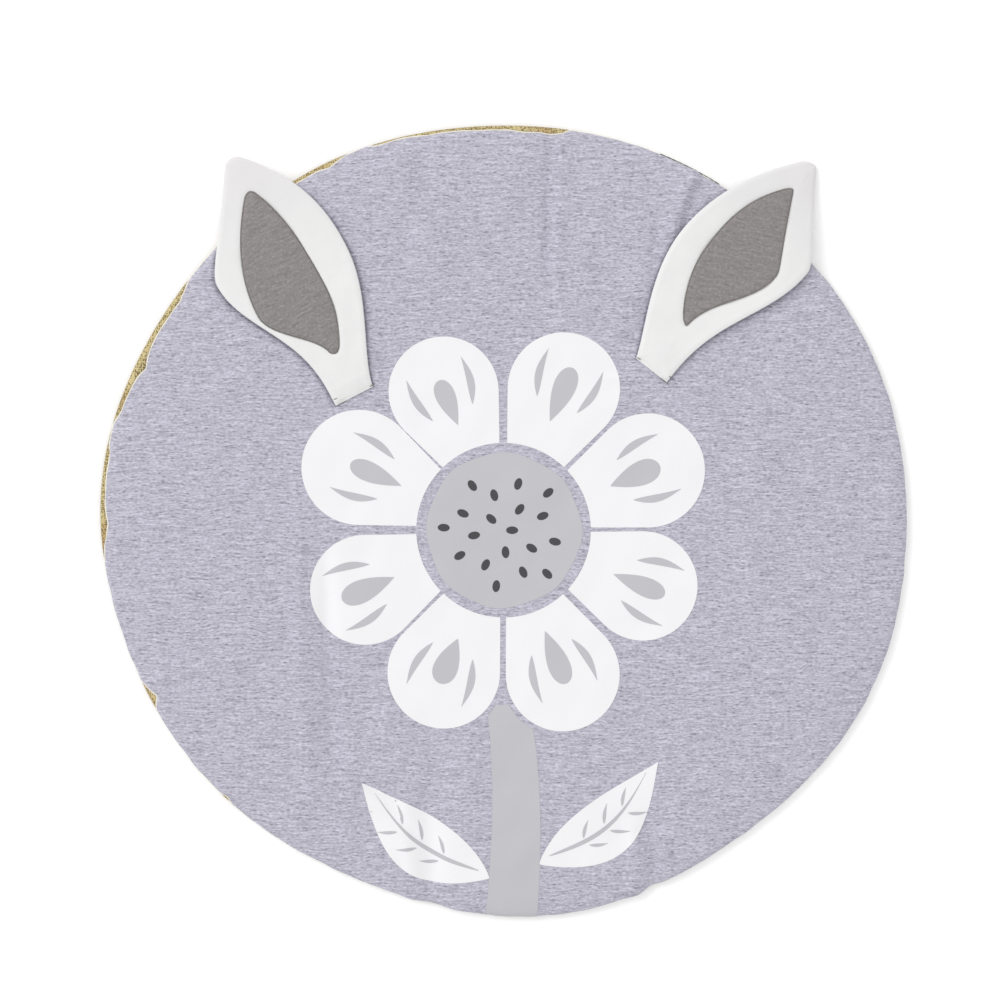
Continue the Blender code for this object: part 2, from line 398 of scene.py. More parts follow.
# The rim's line in section, from a little inside the shoulder down and under to the floor: the angle round
# the ellipse, how far in from the outline, and the length walked along it. Past the ellipse's top the angle
# counts on at this many metres for a radian.
RIM_START_ANGLE = 103
ONWARDS_REACH = RIM_REACH * math.sin(math.radians(RIM_TOP_ANGLE))
RIM_ANGLES = np.linspace(RIM_START_ANGLE, -90, 400)
RIM_INSETS = np.where(
    RIM_ANGLES > RIM_TOP_ANGLE,
    SHOULDER_INSET + np.radians(RIM_ANGLES - RIM_TOP_ANGLE) * ONWARDS_REACH,
    RIM_REACH * (1 - np.cos(np.radians(RIM_ANGLES))),
)
RIM_HEIGHTS = RIM_HALF_HEIGHT * (1 + np.sin(np.radians(np.minimum(RIM_ANGLES, RIM_TOP_ANGLE))))
RIM_WALK = np.append(0, np.cumsum(np.hypot(np.diff(RIM_INSETS), np.diff(RIM_HEIGHTS))))
RIM_INNER = RIM_INSETS[0]


def top_height(x, y):
    """Height of the top surface inside the shoulder, before its creases."""
    dx, dy = x - HUB[0], y - HUB[1]
    radius = np.hypot(dx, dy)
    edge = outline_radius(np.degrees(np.arctan2(dy, dx))) - SHOULDER_INSET
    inside = np.maximum(edge - radius, 0)
    base = RIM_HALF_HEIGHT * (1 + math.sin(math.radians(RIM_TOP_ANGLE)))
    shoulder = SHOULDER_RISE * (1 - np.exp(-inside / SHOULDER_LENGTH))
    crown = CROWN_RISE * (1 - (np.minimum(radius, edge) / edge) ** 2)
    bells = 0
    for bell_x, bell_y, reach, rise in UNDULATIONS:
        bells = bells + rise * np.exp(-((x - bell_x) ** 2 + (y - bell_y) ** 2) / (2 * reach**2))
    return base + shoulder + crown + bells * (1 - np.exp(-inside / FADE_LENGTH))


def polar(x, y):
    """Bearing in degrees and distance from the hub."""
    dx, dy = x - HUB[0], y - HUB[1]
    return np.degrees(np.arctan2(dy, dx)), np.hypot(dx, dy)


def flat_xy(bearing, radius):
    turn = np.radians(bearing)
    return HUB[0] + radius * np.cos(turn), HUB[1] + radius * np.sin(turn)


def seam_angle(bearing):
    """Angle of the edge seam round the rim's ellipse."""
    at, place = rows(SEAM_PLACE)
    inset = eased(bearing, at, place, 360)
    for where, extra, lead_in, lead_out, _ in SEAM_NOTCHES:
        off = np.mod(bearing - where + 180, 360) - 180
        share = np.where(off < 0, -off / lead_in, off / lead_out)
        inset = inset + extra * np.maximum(1 - share, 0) ** NOTCH_POWER
    inset = inset * MM
    upper_half = RIM_ANGLES >= 0
    above = np.interp(inset, RIM_INSETS[upper_half][::-1], RIM_ANGLES[upper_half][::-1])
    below = -np.degrees(np.arccos(1 - np.clip(-inset, 0, RIM_REACH) / RIM_REACH))
    return np.where(inset >= 0, above, below)


def walk_to(angle):
    """Length along the rim's section from its start to this angle."""
    return np.interp(-angle, -RIM_ANGLES, RIM_WALK)


def seam_radius(bearing):
    """Distance of the seam from the hub along the unrolled top."""
    return outline_radius(bearing) - RIM_INNER + walk_to(seam_angle(bearing))


def bare_skin(u, v):
    """The smooth surface at a point of the top as it is laid flat. Past the rim's start it follows the
    rim's section."""
    bearing, radius = polar(u, v)
    start = outline_radius(bearing) - RIM_INNER
    walked = np.maximum(radius - start, 0)
    inset = np.interp(walked, RIM_WALK, RIM_INSETS)
    x, y = flat_xy(bearing, np.where(walked > 0, outline_radius(bearing) - inset, radius))
    angle = np.interp(walked, RIM_WALK, RIM_ANGLES)
    on_top = top_height(x, y)
    on_rim = RIM_HALF_HEIGHT * (1 + np.sin(np.radians(angle)))
    return np.stack((x, y, np.where(angle >= RIM_TOP_ANGLE, on_top, on_rim)), -1)


def outward(u, v):
    """Unit normals of the smooth surface."""
    step = 0.0004
    along = bare_skin(u + step, v) - bare_skin(u - step, v)
    across = bare_skin(u, v + step) - bare_skin(u, v - step)
    normal = np.cross(along, across)
    return normal / np.linalg.norm(normal, axis=-1, keepdims=True)


def edge_distance(share, start, widest, widest_at, end, flare, fall, corner):
    """How far an edge lies from the middle line, this share of the way along."""
    rising = start + (widest - start) * np.sin(np.pi / 2 * np.minimum(share / widest_at, 1)) ** flare
    past = np.maximum((share - widest_at) / (1 - widest_at), 0)
    turned_past = (np.hypot(past, corner) - corner) / (math.hypot(1, corner) - corner)
    falling = end + (widest - end) * (1 - turned_past**fall)
    return np.where(share < widest_at, rising, falling)


def lying_height(x, y):
    """Underside of a flap: on the top, then leaving it before the rim and drooping past it."""
    bearing, radius = polar(x, y)
    start = outline_radius(bearing) - DRAPE_START
    past = np.maximum(radius - start, 0)
    leaving = top_height(*flat_xy(bearing, start))
    slope = (leaving - top_height(*flat_xy(bearing, start - MM))) / MM
    drooping = leaving + slope * past - DRAPE_FALL * past**2
    return np.where(past > 0, drooping, top_height(x, y)) + FLAP_LIFT


class Leaf:
    """One flap in its own measures: along it, and aside from its middle line, positive on its outer
    side."""

    def __init__(self, side):
        self.side = side
        outwards, base_x, base_y, bearing, self.length, self.tip_rounding = FLAPS[side]
        turn = math.radians(bearing)
        self.base = (base_x, base_y)
        self.onwards = (math.cos(turn), math.sin(turn))
        self.across = (-math.sin(turn) * outwards, math.cos(turn) * outwards)
        self.panel_start, self.panel_length, *self.panel_ends = PANELS[side]

    def edge(self, along, aside):
        """Distance of the flap's edge on the side that aside lies on."""
        share = np.clip(along / self.length, 0, 1)
        outer, inner = (edge_distance(share, *edge) for edge in FLAP_EDGES[self.side])
        into_tip = np.clip((along - self.length) / self.tip_rounding + 1, 0, 1)
        return np.where(aside > 0, outer, inner) * np.sqrt(1 - into_tip**2)

    def panel_edge(self, along, aside):
        """Distance of the panel's edge from the panel's axis."""
        on = along - self.panel_start
        share = np.clip(on / self.panel_length, 0, 1)
        outer, inner = (edge_distance(share, *edge) for edge in PANEL_EDGES[self.side])
        into_tip = np.clip((on - self.panel_length) / PANEL_ROUNDING + 1, 0, 1)
        into_start = np.clip(1 - on / PANEL_ROUNDING, 0, 1)
        return np.where(aside > 0, outer, inner) * np.sqrt((1 - into_tip**2) * (1 - into_start**2))

    def panel_axis(self, along):
        """How far outwards from the flap's middle line the panel's axis runs."""
        first, last = self.panel_ends
        return first + (last - first) * (along - self.panel_start) / self.panel_length

    def inside(self, along, aside):
        """How far inside the flap's edge a point lies."""
        return np.minimum(self.edge(along, aside) - np.abs(aside), self.length - along)

    def thickness(self, along, aside):
        """Thickness of the flap, thin at its edge."""
        inside = np.minimum(self.inside(along, aside), along)
        return FLAP_EDGE_THICKNESS + FLAP_PLUMPNESS * (1 - np.exp(-np.maximum(inside, 0) / FLAP_ROUNDING))

    def lift(self, along, aside):
        """How far the edges curl up off the mat, between the sewn base and the rim."""
        outer, inner = EDGE_LIFTS[self.side]
        out = np.clip(np.abs(aside) / np.maximum(self.edge(along, aside), SLIMMEST_HALF), 0, 1)
        share = np.clip(along / (LIFTED_SHARE * self.length), 0, 1)
        return np.where(aside > 0, outer, inner) * out**LIFT_POWER * np.sin(np.pi * share) ** 0.7

    def at(self, along, aside, height):
        """Points of space at these places of the flap, this far above where its underside would lie."""
        x = self.base[0] + self.onwards[0] * along + self.across[0] * aside
        y = self.base[1] + self.onwards[1] * along + self.across[1] * aside
        return np.stack((x, y, lying_height(x, y) + height), -1)

    def side_line(self, which):
        """Points along the flap's outer (1) or inner (-1) edge, as seen from above."""
        along = self.length * (1 - np.cos(np.linspace(0, np.pi, 700))) / 2
        return self.at(along, which * self.edge(along, which), 0)[:, :2]

    def border(self, step):
        """Points round the flap's edge and its base, evenly spaced, as seen from above."""
        return evenly(np.concatenate((self.side_line(1), self.side_line(-1)[::-1])), step)

    def panel_border(self, step):
        """Points round the panel's edge, evenly spaced."""
        share = (1 - np.cos(np.linspace(0, np.pi, 400))) / 2
        along = self.panel_start + self.panel_length * share
        axis = self.panel_axis(along)
        outer = np.stack((along, axis + self.panel_edge(along, 1)), -1)
        inner = np.stack((along, axis - self.panel_edge(along, -1)), -1)
        return evenly(np.concatenate((outer, inner[-2:0:-1])), step)


def evenly(loop, step):
    """The closed line through these points again, with points about this far apart."""
    closed = np.concatenate((loop, loop[:1]))
    walked = np.append(0, np.cumsum(np.linalg.norm(np.diff(closed, axis=0), axis=1)))
    count = max(int(round(walked[-1] / step)), 3)
    at = np.arange(count) * walked[-1] / count
    return np.stack([np.interp(at, walked, closed[:, i]) for i in range(closed.shape[1])], -1)


def nearest(points, line):
    """Distance of each point from the nearest of the line's points."""
    found = np.full(len(points), np.inf)
    for start in range(0, len(line), 64):
        part = line[start:start + 64]
        apart = points[:, None] - part[None]
        found = np.minimum(found, np.hypot(apart[..., 0], apart[..., 1]).min(1))
    return found


FLAP_BORDERS = np.concatenate([Leaf(side).border(0.001) for side in FLAPS])


def drawn_to_borders(u, v):
    """The points again, those near a flap's edge drawn closer to it, so that the mesh can dip there."""
    points = np.stack((u, v), -1)
    for start in range(0, len(points), 4096):
        part = points[start:start + 4096]
        apart = part[:, None] - FLAP_BORDERS[None]
        gap = np.hypot(apart[..., 0], apart[..., 1])
        closest = FLAP_BORDERS[gap.argmin(1)]
        share = np.clip(gap.min(1) / DRAW_REACH, 1e-6, 1)
        part[:] = closest + (part - closest) * (share ** (DRAW_POWER - 1))[:, None]
    return points[:, 0], points[:, 1]


def bedding(u, v):
    """How deep the flaps' edges bed into the padding."""
    points = np.stack((u.ravel(), v.ravel()), -1)
    low, high = FLAP_BORDERS.min(0) - DRAW_REACH, FLAP_BORDERS.max(0) + DRAW_REACH
    close = ((points > low) & (points < high)).all(1)
    depth = np.zeros(len(points))
    for side, depths in BED_DEPTHS.items():
        for which, deep in zip((1, -1), depths):
            bed = deep * np.exp(-((nearest(points[close], Leaf(side).side_line(which)) / BED_WIDTH) ** 2))
            depth[close] = np.maximum(depth[close], bed)
    return depth.reshape(u.shape)


def crease_relief(u, v):
    """Sum of the hand-placed creases. Each fades out at its ends."""
    total = np.zeros_like(u)
    for x0, y0, x1, y1, bow, half_width, height in CREASES:
        run = np.array((x1 - x0, y1 - y0)) * MM
        length = np.hypot(*run)
        onwards = run / length
        along = ((u - x0 * MM) * onwards[0] + (v - y0 * MM) * onwards[1]) / length
        aside = -(u - x0 * MM) * onwards[1] + (v - y0 * MM) * onwards[0]
        within = np.clip(along, 0, 1)
        aside = aside - bow * MM * np.sin(np.pi * within)
        past = (along - within) * length
        fade = np.sin(np.pi * within) ** 0.5
        total += height * MM * fade * np.exp(-(aside**2 + past**2) / (half_width * MM) ** 2)
    return total


def ripples(u, v, seed, waves, shortest, longest):
    """Uneven low ripples: a seeded sum of plane waves, about one high."""
    draw = np.random.default_rng(seed)
    total = np.zeros_like(u)
    for _ in range(waves):
        wavelength = draw.uniform(shortest, longest)
        turn, phase = draw.uniform(0, 2 * np.pi, 2)
        total += np.cos(2 * np.pi * (u * np.cos(turn) + v * np.sin(turn)) / wavelength + phase)
    return total / math.sqrt(waves / 2)


def pucker_relief(bearing, inside):
    """Short folds that the seam gathers, running in from it."""
    turn = np.radians(bearing)
    folds = sum(np.cos(count * turn + phase) for count, phase in PUCKER_FOLDS)
    total = PUCKER_HEIGHT * folds / 2 * np.exp(-inside / PUCKER_REACH)
    for where, extra, _, _, length in SEAM_NOTCHES:
        off = np.mod(bearing - where + 180, 360) - 180
        aside = np.radians(off) * MEAN_RADIUS
        ridges = np.exp(-(((np.abs(aside) - RIDGE_ASIDE) / RIDGE_WIDTH) ** 2))
        dent = np.exp(-((aside / DENT_WIDTH) ** 2)) - RIDGE_SHARE * ridges
        total -= DENT_SHARE * MM * extra**DENT_POWER * dent * np.exp(-inside / (length * MM))
    return total


def relief(u, v):
    """All that lies on the smooth surface: creases, ripples, puckers, the seam's groove and the beds."""
    bearing, radius = polar(u, v)
    inside = np.maximum(seam_radius(bearing) - radius, 0)
    rippled = ripples(u, v, RIPPLE_SEED, RIPPLE_WAVES, *RIPPLE_LENGTHS)
    low = RIPPLE_HEIGHT * rippled * (1 - np.exp(-inside / RIPPLE_FADE))
    groove = -GROOVE_DEPTH * np.exp(-inside / GROOVE_WIDTH)
    bed = bedding(u, v) * (1 - np.exp(-inside / BED_FADE))
    return crease_relief(u, v) + low + pucker_relief(bearing, inside) + groove - bed


def skin(u, v, lift=0.0):
    """Points of the jersey's surface, raised by lift."""
    return bare_skin(u, v) + outward(u, v) * (relief(u, v) + lift)[..., None]


# ---- Mesh making ---------------------------------------------------------------------------------


def piece(name, points, faces, finish, sharp=None, laid_flat=None):
    """Makes a smooth-shaded object of the points and faces, which rides on the mat. Its cloth may be given
    as it is laid flat, point by point, and then the pattern follows the cloth."""
    mesh = bpy.data.meshes.new(name)
    mesh.from_pydata([tuple(p) for p in np.asarray(points, float)], [], faces)
    mesh.validate()
    outwards = bmesh.new()
    outwards.from_mesh(mesh)
    bmesh.ops.recalc_face_normals(outwards, faces=outwards.faces[:])
    outwards.to_mesh(mesh)
    outwards.free()
    mesh.shade_smooth()
    if sharp is not None:
        mesh.set_sharp_from_angle(angle=math.radians(sharp))
    mesh.materials.append(finish)
    if laid_flat is not None:
        flat = mesh.attributes.new("laid_flat", "FLOAT_VECTOR", "POINT")
        flat.data.foreach_set("vector", np.asarray(laid_flat, np.float32).ravel())
    made = bpy.data.objects.new(name, mesh)
    bpy.context.scene.collection.objects.link(made)
    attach(made, "root")
    return made


def band(first, second):
    """Quads between two closed loops of vertex numbers."""
    return [list(q) for q in zip(first, np.roll(first, -1), np.roll(second, -1), second)]


def grid_quads(number):
    """The quads of a grid of vertex numbers."""
    corners = (number[:-1, :-1], number[1:, :-1], number[1:, 1:], number[:-1, 1:])
    return np.stack(corners, -1).reshape(-1, 4)


def disc_grid(half_cells):
    """A square grid bent into a unit disc: x, y, its quads, and its border from bearing -45 degrees
    round."""
    steps = np.arange(-half_cells, half_cells + 1) / half_cells
    a, b = np.meshgrid(steps, steps, indexing="ij")
    wide = np.abs(a) > np.abs(b)
    radius = np.where(wide, a, b)
    safe_a, safe_b = np.where(a == 0, 1, a), np.where(b == 0, 1, b)
    turn = np.where(wide, np.pi / 4 * b / safe_a, np.pi / 2 - np.pi / 4 * a / safe_b)
    count = 2 * half_cells + 1
    number = np.arange(count * count).reshape(count, count)
    border = np.concatenate((number[-1, :-1], number[:0:-1, -1], number[0, :0:-1], number[:-1, 0]))
    x, y = (radius * np.cos(turn)).ravel(), (radius * np.sin(turn)).ravel()
    return x, y, grid_quads(number).tolist(), border


# ---- The padded top ------------------------------------------------------------------------------

HALF_CELLS = 136
RIM_RINGS = 14
TUCK_DEPTH = 0.0036  # how deep the hidden edge lies behind the backing
DRAWN_SHARE = 0.985  # of the disc, within which its points are drawn to the flaps' edges
RIM_CROWDING = 1.35  # of the rings towards the seam
TUCK_START = 60  # no higher round the rim than this does the hidden edge begin, in degrees
TUCK_SHARES = (0.06, 0.5, 1.0)  # of its way from there to the floor

SEAM_EDGE_COLUMNS = 1088
SEAM_EDGE_SIDES = 6
SEAM_EDGE_RADIUS = 0.0010
SEAM_EDGE_INSET = 0.0009
SEAM_EDGE_SINK = 0.0003
SEAM_EDGE_WAVES = (83, 31)  # round the mat; it is thicker and thinner by their product
SEAM_EDGE_UNEVENNESS = 0.25


def seam_edge(finish):
    """The jersey's cut edge at the seam, overcast in pale thread: a fine cream roll, its pale colour partly
    a painted highlight along the seam.
    """
    around = np.arange(SEAM_EDGE_COLUMNS) * 360 / SEAM_EDGE_COLUMNS
    u, v = flat_xy(around, seam_radius(around) - SEAM_EDGE_INSET)
    middle, normal = skin(u, v, -SEAM_EDGE_SINK), outward(u, v)
    onwards = np.roll(middle, -1, 0) - np.roll(middle, 1, 0)
    onwards /= np.linalg.norm(onwards, axis=1, keepdims=True)
    aside = np.cross(onwards, normal)
    uneven = np.prod([np.sin(np.radians(around) * count) for count in SEAM_EDGE_WAVES], 0)
    thick = SEAM_EDGE_RADIUS * (1 + SEAM_EDGE_UNEVENNESS * uneven)[:, None]
    turns = np.arange(SEAM_EDGE_SIDES) * 2 * np.pi / SEAM_EDGE_SIDES
    loops = [middle + (aside * math.cos(turn) + normal * math.sin(turn)) * thick for turn in turns]
    points = np.concatenate(loops)
    numbers = np.arange(len(points)).reshape(SEAM_EDGE_SIDES, SEAM_EDGE_COLUMNS)
    faces = []
    for side in range(SEAM_EDGE_SIDES):
        faces += band(numbers[side], numbers[(side + 1) % SEAM_EDGE_SIDES])
    return piece("seam_edge", points, faces, finish)


def on_section(bearing, angle, depth):
    """Points of the rim's ellipse, this deep inside it."""
    radius = outline_radius(bearing) - RIM_REACH + (RIM_REACH - depth) * np.cos(np.radians(angle))
    x, y = flat_xy(bearing, radius)
    z = RIM_HALF_HEIGHT + (RIM_HALF_HEIGHT - depth) * np.sin(np.radians(angle))
    return np.stack((x, y, np.broadcast_to(z, x.shape)), -1)


def mat_top(finish):
    """The jersey top over its padding, closed underneath, where the backing hides it."""
    x, y, faces, border = disc_grid(HALF_CELLS)
    bearing = np.degrees(np.arctan2(y, x))
    radius = np.hypot(x, y) * (outline_radius(bearing) - RIM_INNER)
    u, v = flat_xy(bearing, radius)
    inner = np.hypot(x, y) < DRAWN_SHARE
    u[inner], v[inner] = drawn_to_borders(u[inner], v[inner])
    points, flat = [skin(u, v)], [np.stack((u, v, 0 * u), -1)]
    around = bearing[border]
    start = outline_radius(around) - RIM_INNER
    reach = seam_radius(around) - start
    for ring in range(1, RIM_RINGS + 1):
        share = 1 - (1 - ring / RIM_RINGS) ** RIM_CROWDING
        u, v = flat_xy(around, start + reach * share)
        points.append(skin(u, v))
        flat.append(np.stack((u, v, 0 * u), -1))
    tuck = np.minimum(seam_angle(around), TUCK_START)
    for share in TUCK_SHARES:
        points.append(on_section(around, tuck - (tuck + 90) * share, TUCK_DEPTH))
        flat.append(flat[-1])
    loop, first = border, len(points[0])
    for _ in points[1:]:
        fresh = np.arange(first, first + len(border))
        faces += band(loop, fresh)
        loop = fresh
        first += len(border)
    faces.append(loop.tolist())
    return piece("mat_top", np.concatenate(points), faces, finish, laid_flat=np.concatenate(flat))


# ---- The backing ---------------------------------------------------------------------------------

BACKING_COLUMNS = 1088
BACKING_RINGS = 12
BACKING_CROWDING = 0.8  # of the rings towards the seam
SEAM_OPENING = 2.2  # degrees of rim between the jersey's fold and the backing's edge
RIM_MEAN_REACH = 0.75 * RIM_REACH  # the ellipse's mean radius, near enough

# Small folds at the backing's edge, and how much it rises where it turns in over the top.
BACKING_FOLDS = 61
BACKING_FOLD_HEIGHT = 0.00022
BACKING_FOLD_REACH = 0.006
SLIP_RISE = 0.15


def backing(finish):
    """The backing: flat on the floor, turned up round the rim to the seam, into which its edge dips."""
    around = np.arange(BACKING_COLUMNS) * 360 / BACKING_COLUMNS
    edge = seam_angle(around) - SEAM_OPENING
    points, faces = [], []
    loop, first = None, 0
    turn = np.radians(around)
    shares = np.linspace(0, 1, BACKING_RINGS + 1) ** BACKING_CROWDING
    for inset, order in ((0, shares), (BACKING_THICKNESS, shares[::-1])):
        for share in order:
            angle = -90 + (edge + 90) * share
            below = np.radians(edge - angle) * RIM_MEAN_REACH
            dip = GROOVE_DEPTH * np.exp(-below / GROOVE_WIDTH)
            folds = np.cos(turn * BACKING_FOLDS + 1) * np.exp(-below / BACKING_FOLD_REACH)
            depth = inset + dip - BACKING_FOLD_HEIGHT * folds * share
            ring = on_section(around, np.minimum(angle, RIM_TOP_ANGLE), depth)
            slip = np.radians(np.maximum(angle - RIM_TOP_ANGLE, 0)) * ONWARDS_REACH
            ring[:, 0] -= slip * np.cos(turn)
            ring[:, 1] -= slip * np.sin(turn)
            ring[:, 2] += slip * SLIP_RISE
            if share == 0:
                ring[:, 2] = inset
            points.append(ring)
            fresh = np.arange(first, first + BACKING_COLUMNS)
            if loop is None:
                faces.append(fresh[::-1].tolist())
            else:
                faces += band(loop, fresh)
            loop = fresh
            first += BACKING_COLUMNS
    faces.append(loop.tolist())
    made = piece("mat_backing", np.concatenate(points), faces, finish)
    return made


# ---- Flaps and their panels ----------------------------------------------------------------------

# Points of each mesh along it and across it: how many, and how much closer they lie near both ends.
FLAP_ALONGS, FLAP_ACROSS = (150, 0.80), (80, 0.88)
PANEL_ALONGS, PANEL_ACROSS = (110, 0.80), (40, 0.60)
PANEL_SHORTFALL = 0.0001  # its mesh ends just short of its points
FIRST_RIPPLE_SEED = 21  # for the first flap; the next one counts on


def leaf_mesh(leaf, alongs, asides, levels):
    """Points and faces of a closed leaf between two levels that meet at the edge, and where each point of
    it lies on the flat cloth. Asides has a row for each along."""
    rows_across, count = asides.shape
    along, aside = np.repeat(alongs, count), asides.ravel()
    number = np.arange(len(along)).reshape(rows_across, count)
    upper = leaf.at(along, aside, levels[1](along, aside))
    lower = leaf.at(along, aside, levels[0](along, aside))
    quads = grid_quads(number)
    border = np.concatenate((number[:, 0], number[-1, 1:], number[-2::-1, -1], number[0, -2:0:-1]))
    under = quads[:, ::-1] + len(along)
    faces = quads.tolist() + under.tolist() + band(border, border + len(along))
    flat = np.stack((aside, along, 0 * along), -1)
    return np.concatenate((upper, lower)), faces, np.concatenate((flat, flat))


def packed(first, last, count, towards_ends):
    """Numbers from first to last, closer together near both ends."""
    even = np.linspace(0, 1, count)
    curved = (1 - np.cos(np.pi * even)) / 2
    return first + (last - first) * (even * (1 - towards_ends) + curved * towards_ends)


def flap(leaf, seed, finish):
    """A soft flap: two layers that meet in an edge seam, a little padding, sunk round the panel and at
    the base."""
    border = leaf.panel_border(SINK_SPACING)

    def roundness(along, aside):
        return np.sqrt(1 - np.clip(1 - leaf.inside(along, aside) / FLAP_EDGE_ROUNDING, 0, 1) ** 2)

    def height(along, aside):
        inside = leaf.inside(along, aside)
        seam = FLAP_SEAM_BULK * np.exp(-((inside - FLAP_SEAM_INSET) / FLAP_SEAM_WIDTH) ** 2)
        off_stitches = nearest(np.stack((along, aside), -1), border)
        sunk = SINK_DEPTH * np.exp(-((off_stitches / FLAP_SINK_WIDTH) ** 2))
        rippled = ripples(along, aside, seed, FLAP_RIPPLE_WAVES, *FLAP_RIPPLE_LENGTHS)
        low = FLAP_RIPPLE_HEIGHT * rippled * np.clip(inside / FLAP_RIPPLE_FADE, 0, 1)
        gathers = GATHER_HEIGHT * np.cos(aside / GATHER_RADIAN) * np.exp(-along / GATHER_REACH)
        full = leaf.thickness(along, aside) + seam - sunk + low + gathers
        full *= BASE_SHARE + (1 - BASE_SHARE) * np.clip(along / BASE_REACH, 0, 1) ** BASE_POWER
        middle = FLAP_EDGE_THICKNESS * FLAP_EDGE_MIDDLE
        return middle + (full - middle) * roundness(along, aside) + leaf.lift(along, aside)

    def underside(along, aside):
        turned_up = FLAP_EDGE_THICKNESS * FLAP_EDGE_TUCK * (1 - roundness(along, aside))
        return turned_up + leaf.lift(along, aside)

    alongs = packed(0.0, leaf.length, *FLAP_ALONGS)
    shares = packed(-1, 1, *FLAP_ACROSS)
    asides = shares * leaf.edge(alongs[:, None], shares)
    points, faces, flat = leaf_mesh(leaf, alongs, asides, (underside, height))
    made = piece(f"flap_{leaf.side}", points, faces, finish, laid_flat=flat)
    return made


def panel(leaf, finish):
    """The panel on a flap: one layer of jersey, its edge sunk under the stitching."""
    border = leaf.panel_border(SINK_SPACING)

    def lower(along, aside):
        off_stitches = nearest(np.stack((along, aside), -1), border)
        level = leaf.thickness(along, aside) + PANEL_CLEARANCE + leaf.lift(along, aside)
        return level - SINK_DEPTH * np.exp(-((off_stitches / PANEL_SINK_WIDTH) ** 2))

    def upper(along, aside):
        return lower(along, aside) + PANEL_THICKNESS

    end = leaf.panel_start + leaf.panel_length
    alongs = packed(leaf.panel_start + PANEL_SHORTFALL, end - PANEL_SHORTFALL, *PANEL_ALONGS)
    shares = packed(-1, 1, *PANEL_ACROSS)
    asides = leaf.panel_axis(alongs)[:, None] + shares * leaf.panel_edge(alongs[:, None], shares)
    points, faces, flat = leaf_mesh(leaf, alongs, asides, (lower, upper))
    flat[:, :2] = turned(flat, -PANEL_GRAINS[leaf.side])
    made = piece(f"panel_{leaf.side}", points, faces, finish, sharp=50, laid_flat=flat)
    along = np.linspace(leaf.panel_start, end, 400)
    across = leaf.panel_edge(along, 1) + leaf.panel_edge(along, -1)
    return made


# ---- Stitches ------------------------------------------------------------------------------------

# Each thread's radius, the arch of its stitches, and how far they are lifted.
SATIN_THREAD = (0.00034, 0.00025, 0.0)
BASE_THREAD = (0.00036, 0.0003, 0.0002)
RIM_SHADOW_THREAD = (0.00062, 0.0002, 0.0)
CORNER_THREAD = (0.00050, 0.0004, 0.0002)
STITCH_END = 0.45  # a stitch's thickness at its ends, as a share

SATIN_SPACING = 0.0009
SATIN_HALF_WIDTH = 0.0010
SATIN_UNEVENNESS = 0.00012
SATIN_SEED = 11
SATIN_OUTER_LEVEL = -0.0001  # above the flap's full thickness
SATIN_INNER_LEVEL = 0.0004

BASE_STITCH_FIRST, BASE_STITCH_LAST = -0.0225, 0.0230  # aside of the flap's middle line
BASE_STITCH_STEP = 0.0036
BASE_STITCH_LENGTH = 0.0024
BASE_STITCH_INSET = 0.0040  # in from the base's edge
BASE_STITCH_LEVEL = 0.0023
CORNER_TACK_LEVEL = 0.0024
RIM_TACK_DEPTH = -0.0002


def stitch(start, end, radius, arch, lift):
    """Points and faces of one stitch: a thread from start to end that arches a little."""
    rings, sides = 5, 6
    run = end - start
    length = np.linalg.norm(run)
    onwards = run / length
    up = np.array((0.0, 0.0, 1.0)) - onwards * onwards[2]
    up /= np.linalg.norm(up)
    aside = np.cross(onwards, up)
    turn = np.arange(sides) * 2 * np.pi / sides
    points = []
    for ring in range(rings):
        share = ring / (rings - 1)
        swell = STITCH_END + (1 - STITCH_END) * math.sin(math.pi * share) ** 0.5
        middle = start + run * share + up * (lift + arch * math.sin(math.pi * share))
        for t in turn:
            points.append(middle + (aside * math.cos(t) + up * math.sin(t)) * radius * swell)
    faces = []
    for ring in range(rings - 1):
        base = ring * sides
        faces += band(np.arange(base, base + sides), np.arange(base + sides, base + 2 * sides))
    faces.append(list(range(sides))[::-1])
    faces.append(list(range((rings - 1) * sides, rings * sides)))
    return np.array(points), faces


def stitches(name, runs, thread, finish):
    """Many stitches of one thread joined into one piece. Each run is a start and an end point."""
    points, faces, first = [], [], 0
    for start, end in runs:
        more, fresh = stitch(np.asarray(start, float), np.asarray(end, float), *thread)
        points.append(more)
        faces += [[n + first for n in face] for face in fresh]
        first += len(more)
    return piece(name, np.concatenate(points), faces, finish)


def panel_stitching(leaf, finish):
    """A close satin stitch over the panel's edge."""
    line = leaf.panel_border(SATIN_SPACING)
    onwards = np.roll(line, -1, 0) - np.roll(line, 1, 0)
    onwards /= np.linalg.norm(onwards, axis=1, keepdims=True)
    aside = np.stack((-onwards[:, 1], onwards[:, 0]), -1)
    draw = np.random.default_rng(SATIN_SEED)
    half = SATIN_HALF_WIDTH + draw.uniform(-SATIN_UNEVENNESS, SATIN_UNEVENNESS, (len(line), 1))
    ends = []
    for side, level in ((1, SATIN_OUTER_LEVEL), (-1, SATIN_INNER_LEVEL)):
        along, across = (line + side * aside * half).T
        height = leaf.thickness(along, across) + level + leaf.lift(along, across)
        ends.append(leaf.at(along, across, height))
    return stitches(f"panel_stitches_{leaf.side}", zip(*ends), SATIN_THREAD, finish)


def base_stitching(leaf, finish):
    """A row of small stitches that holds the flap's base down."""
    runs = []
    for place in np.arange(BASE_STITCH_FIRST, BASE_STITCH_LAST, BASE_STITCH_STEP):
        stray = 0.0002 + 0.0003 * math.sin(place * 900)
        start = (BASE_STITCH_INSET + stray, place)
        end = (BASE_STITCH_INSET, place + BASE_STITCH_LENGTH)
        runs.append([leaf.at(np.array(a), np.array(w), BASE_STITCH_LEVEL) for a, w in (start, end)])
    return stitches(f"base_stitches_{leaf.side}", runs, BASE_THREAD, finish)


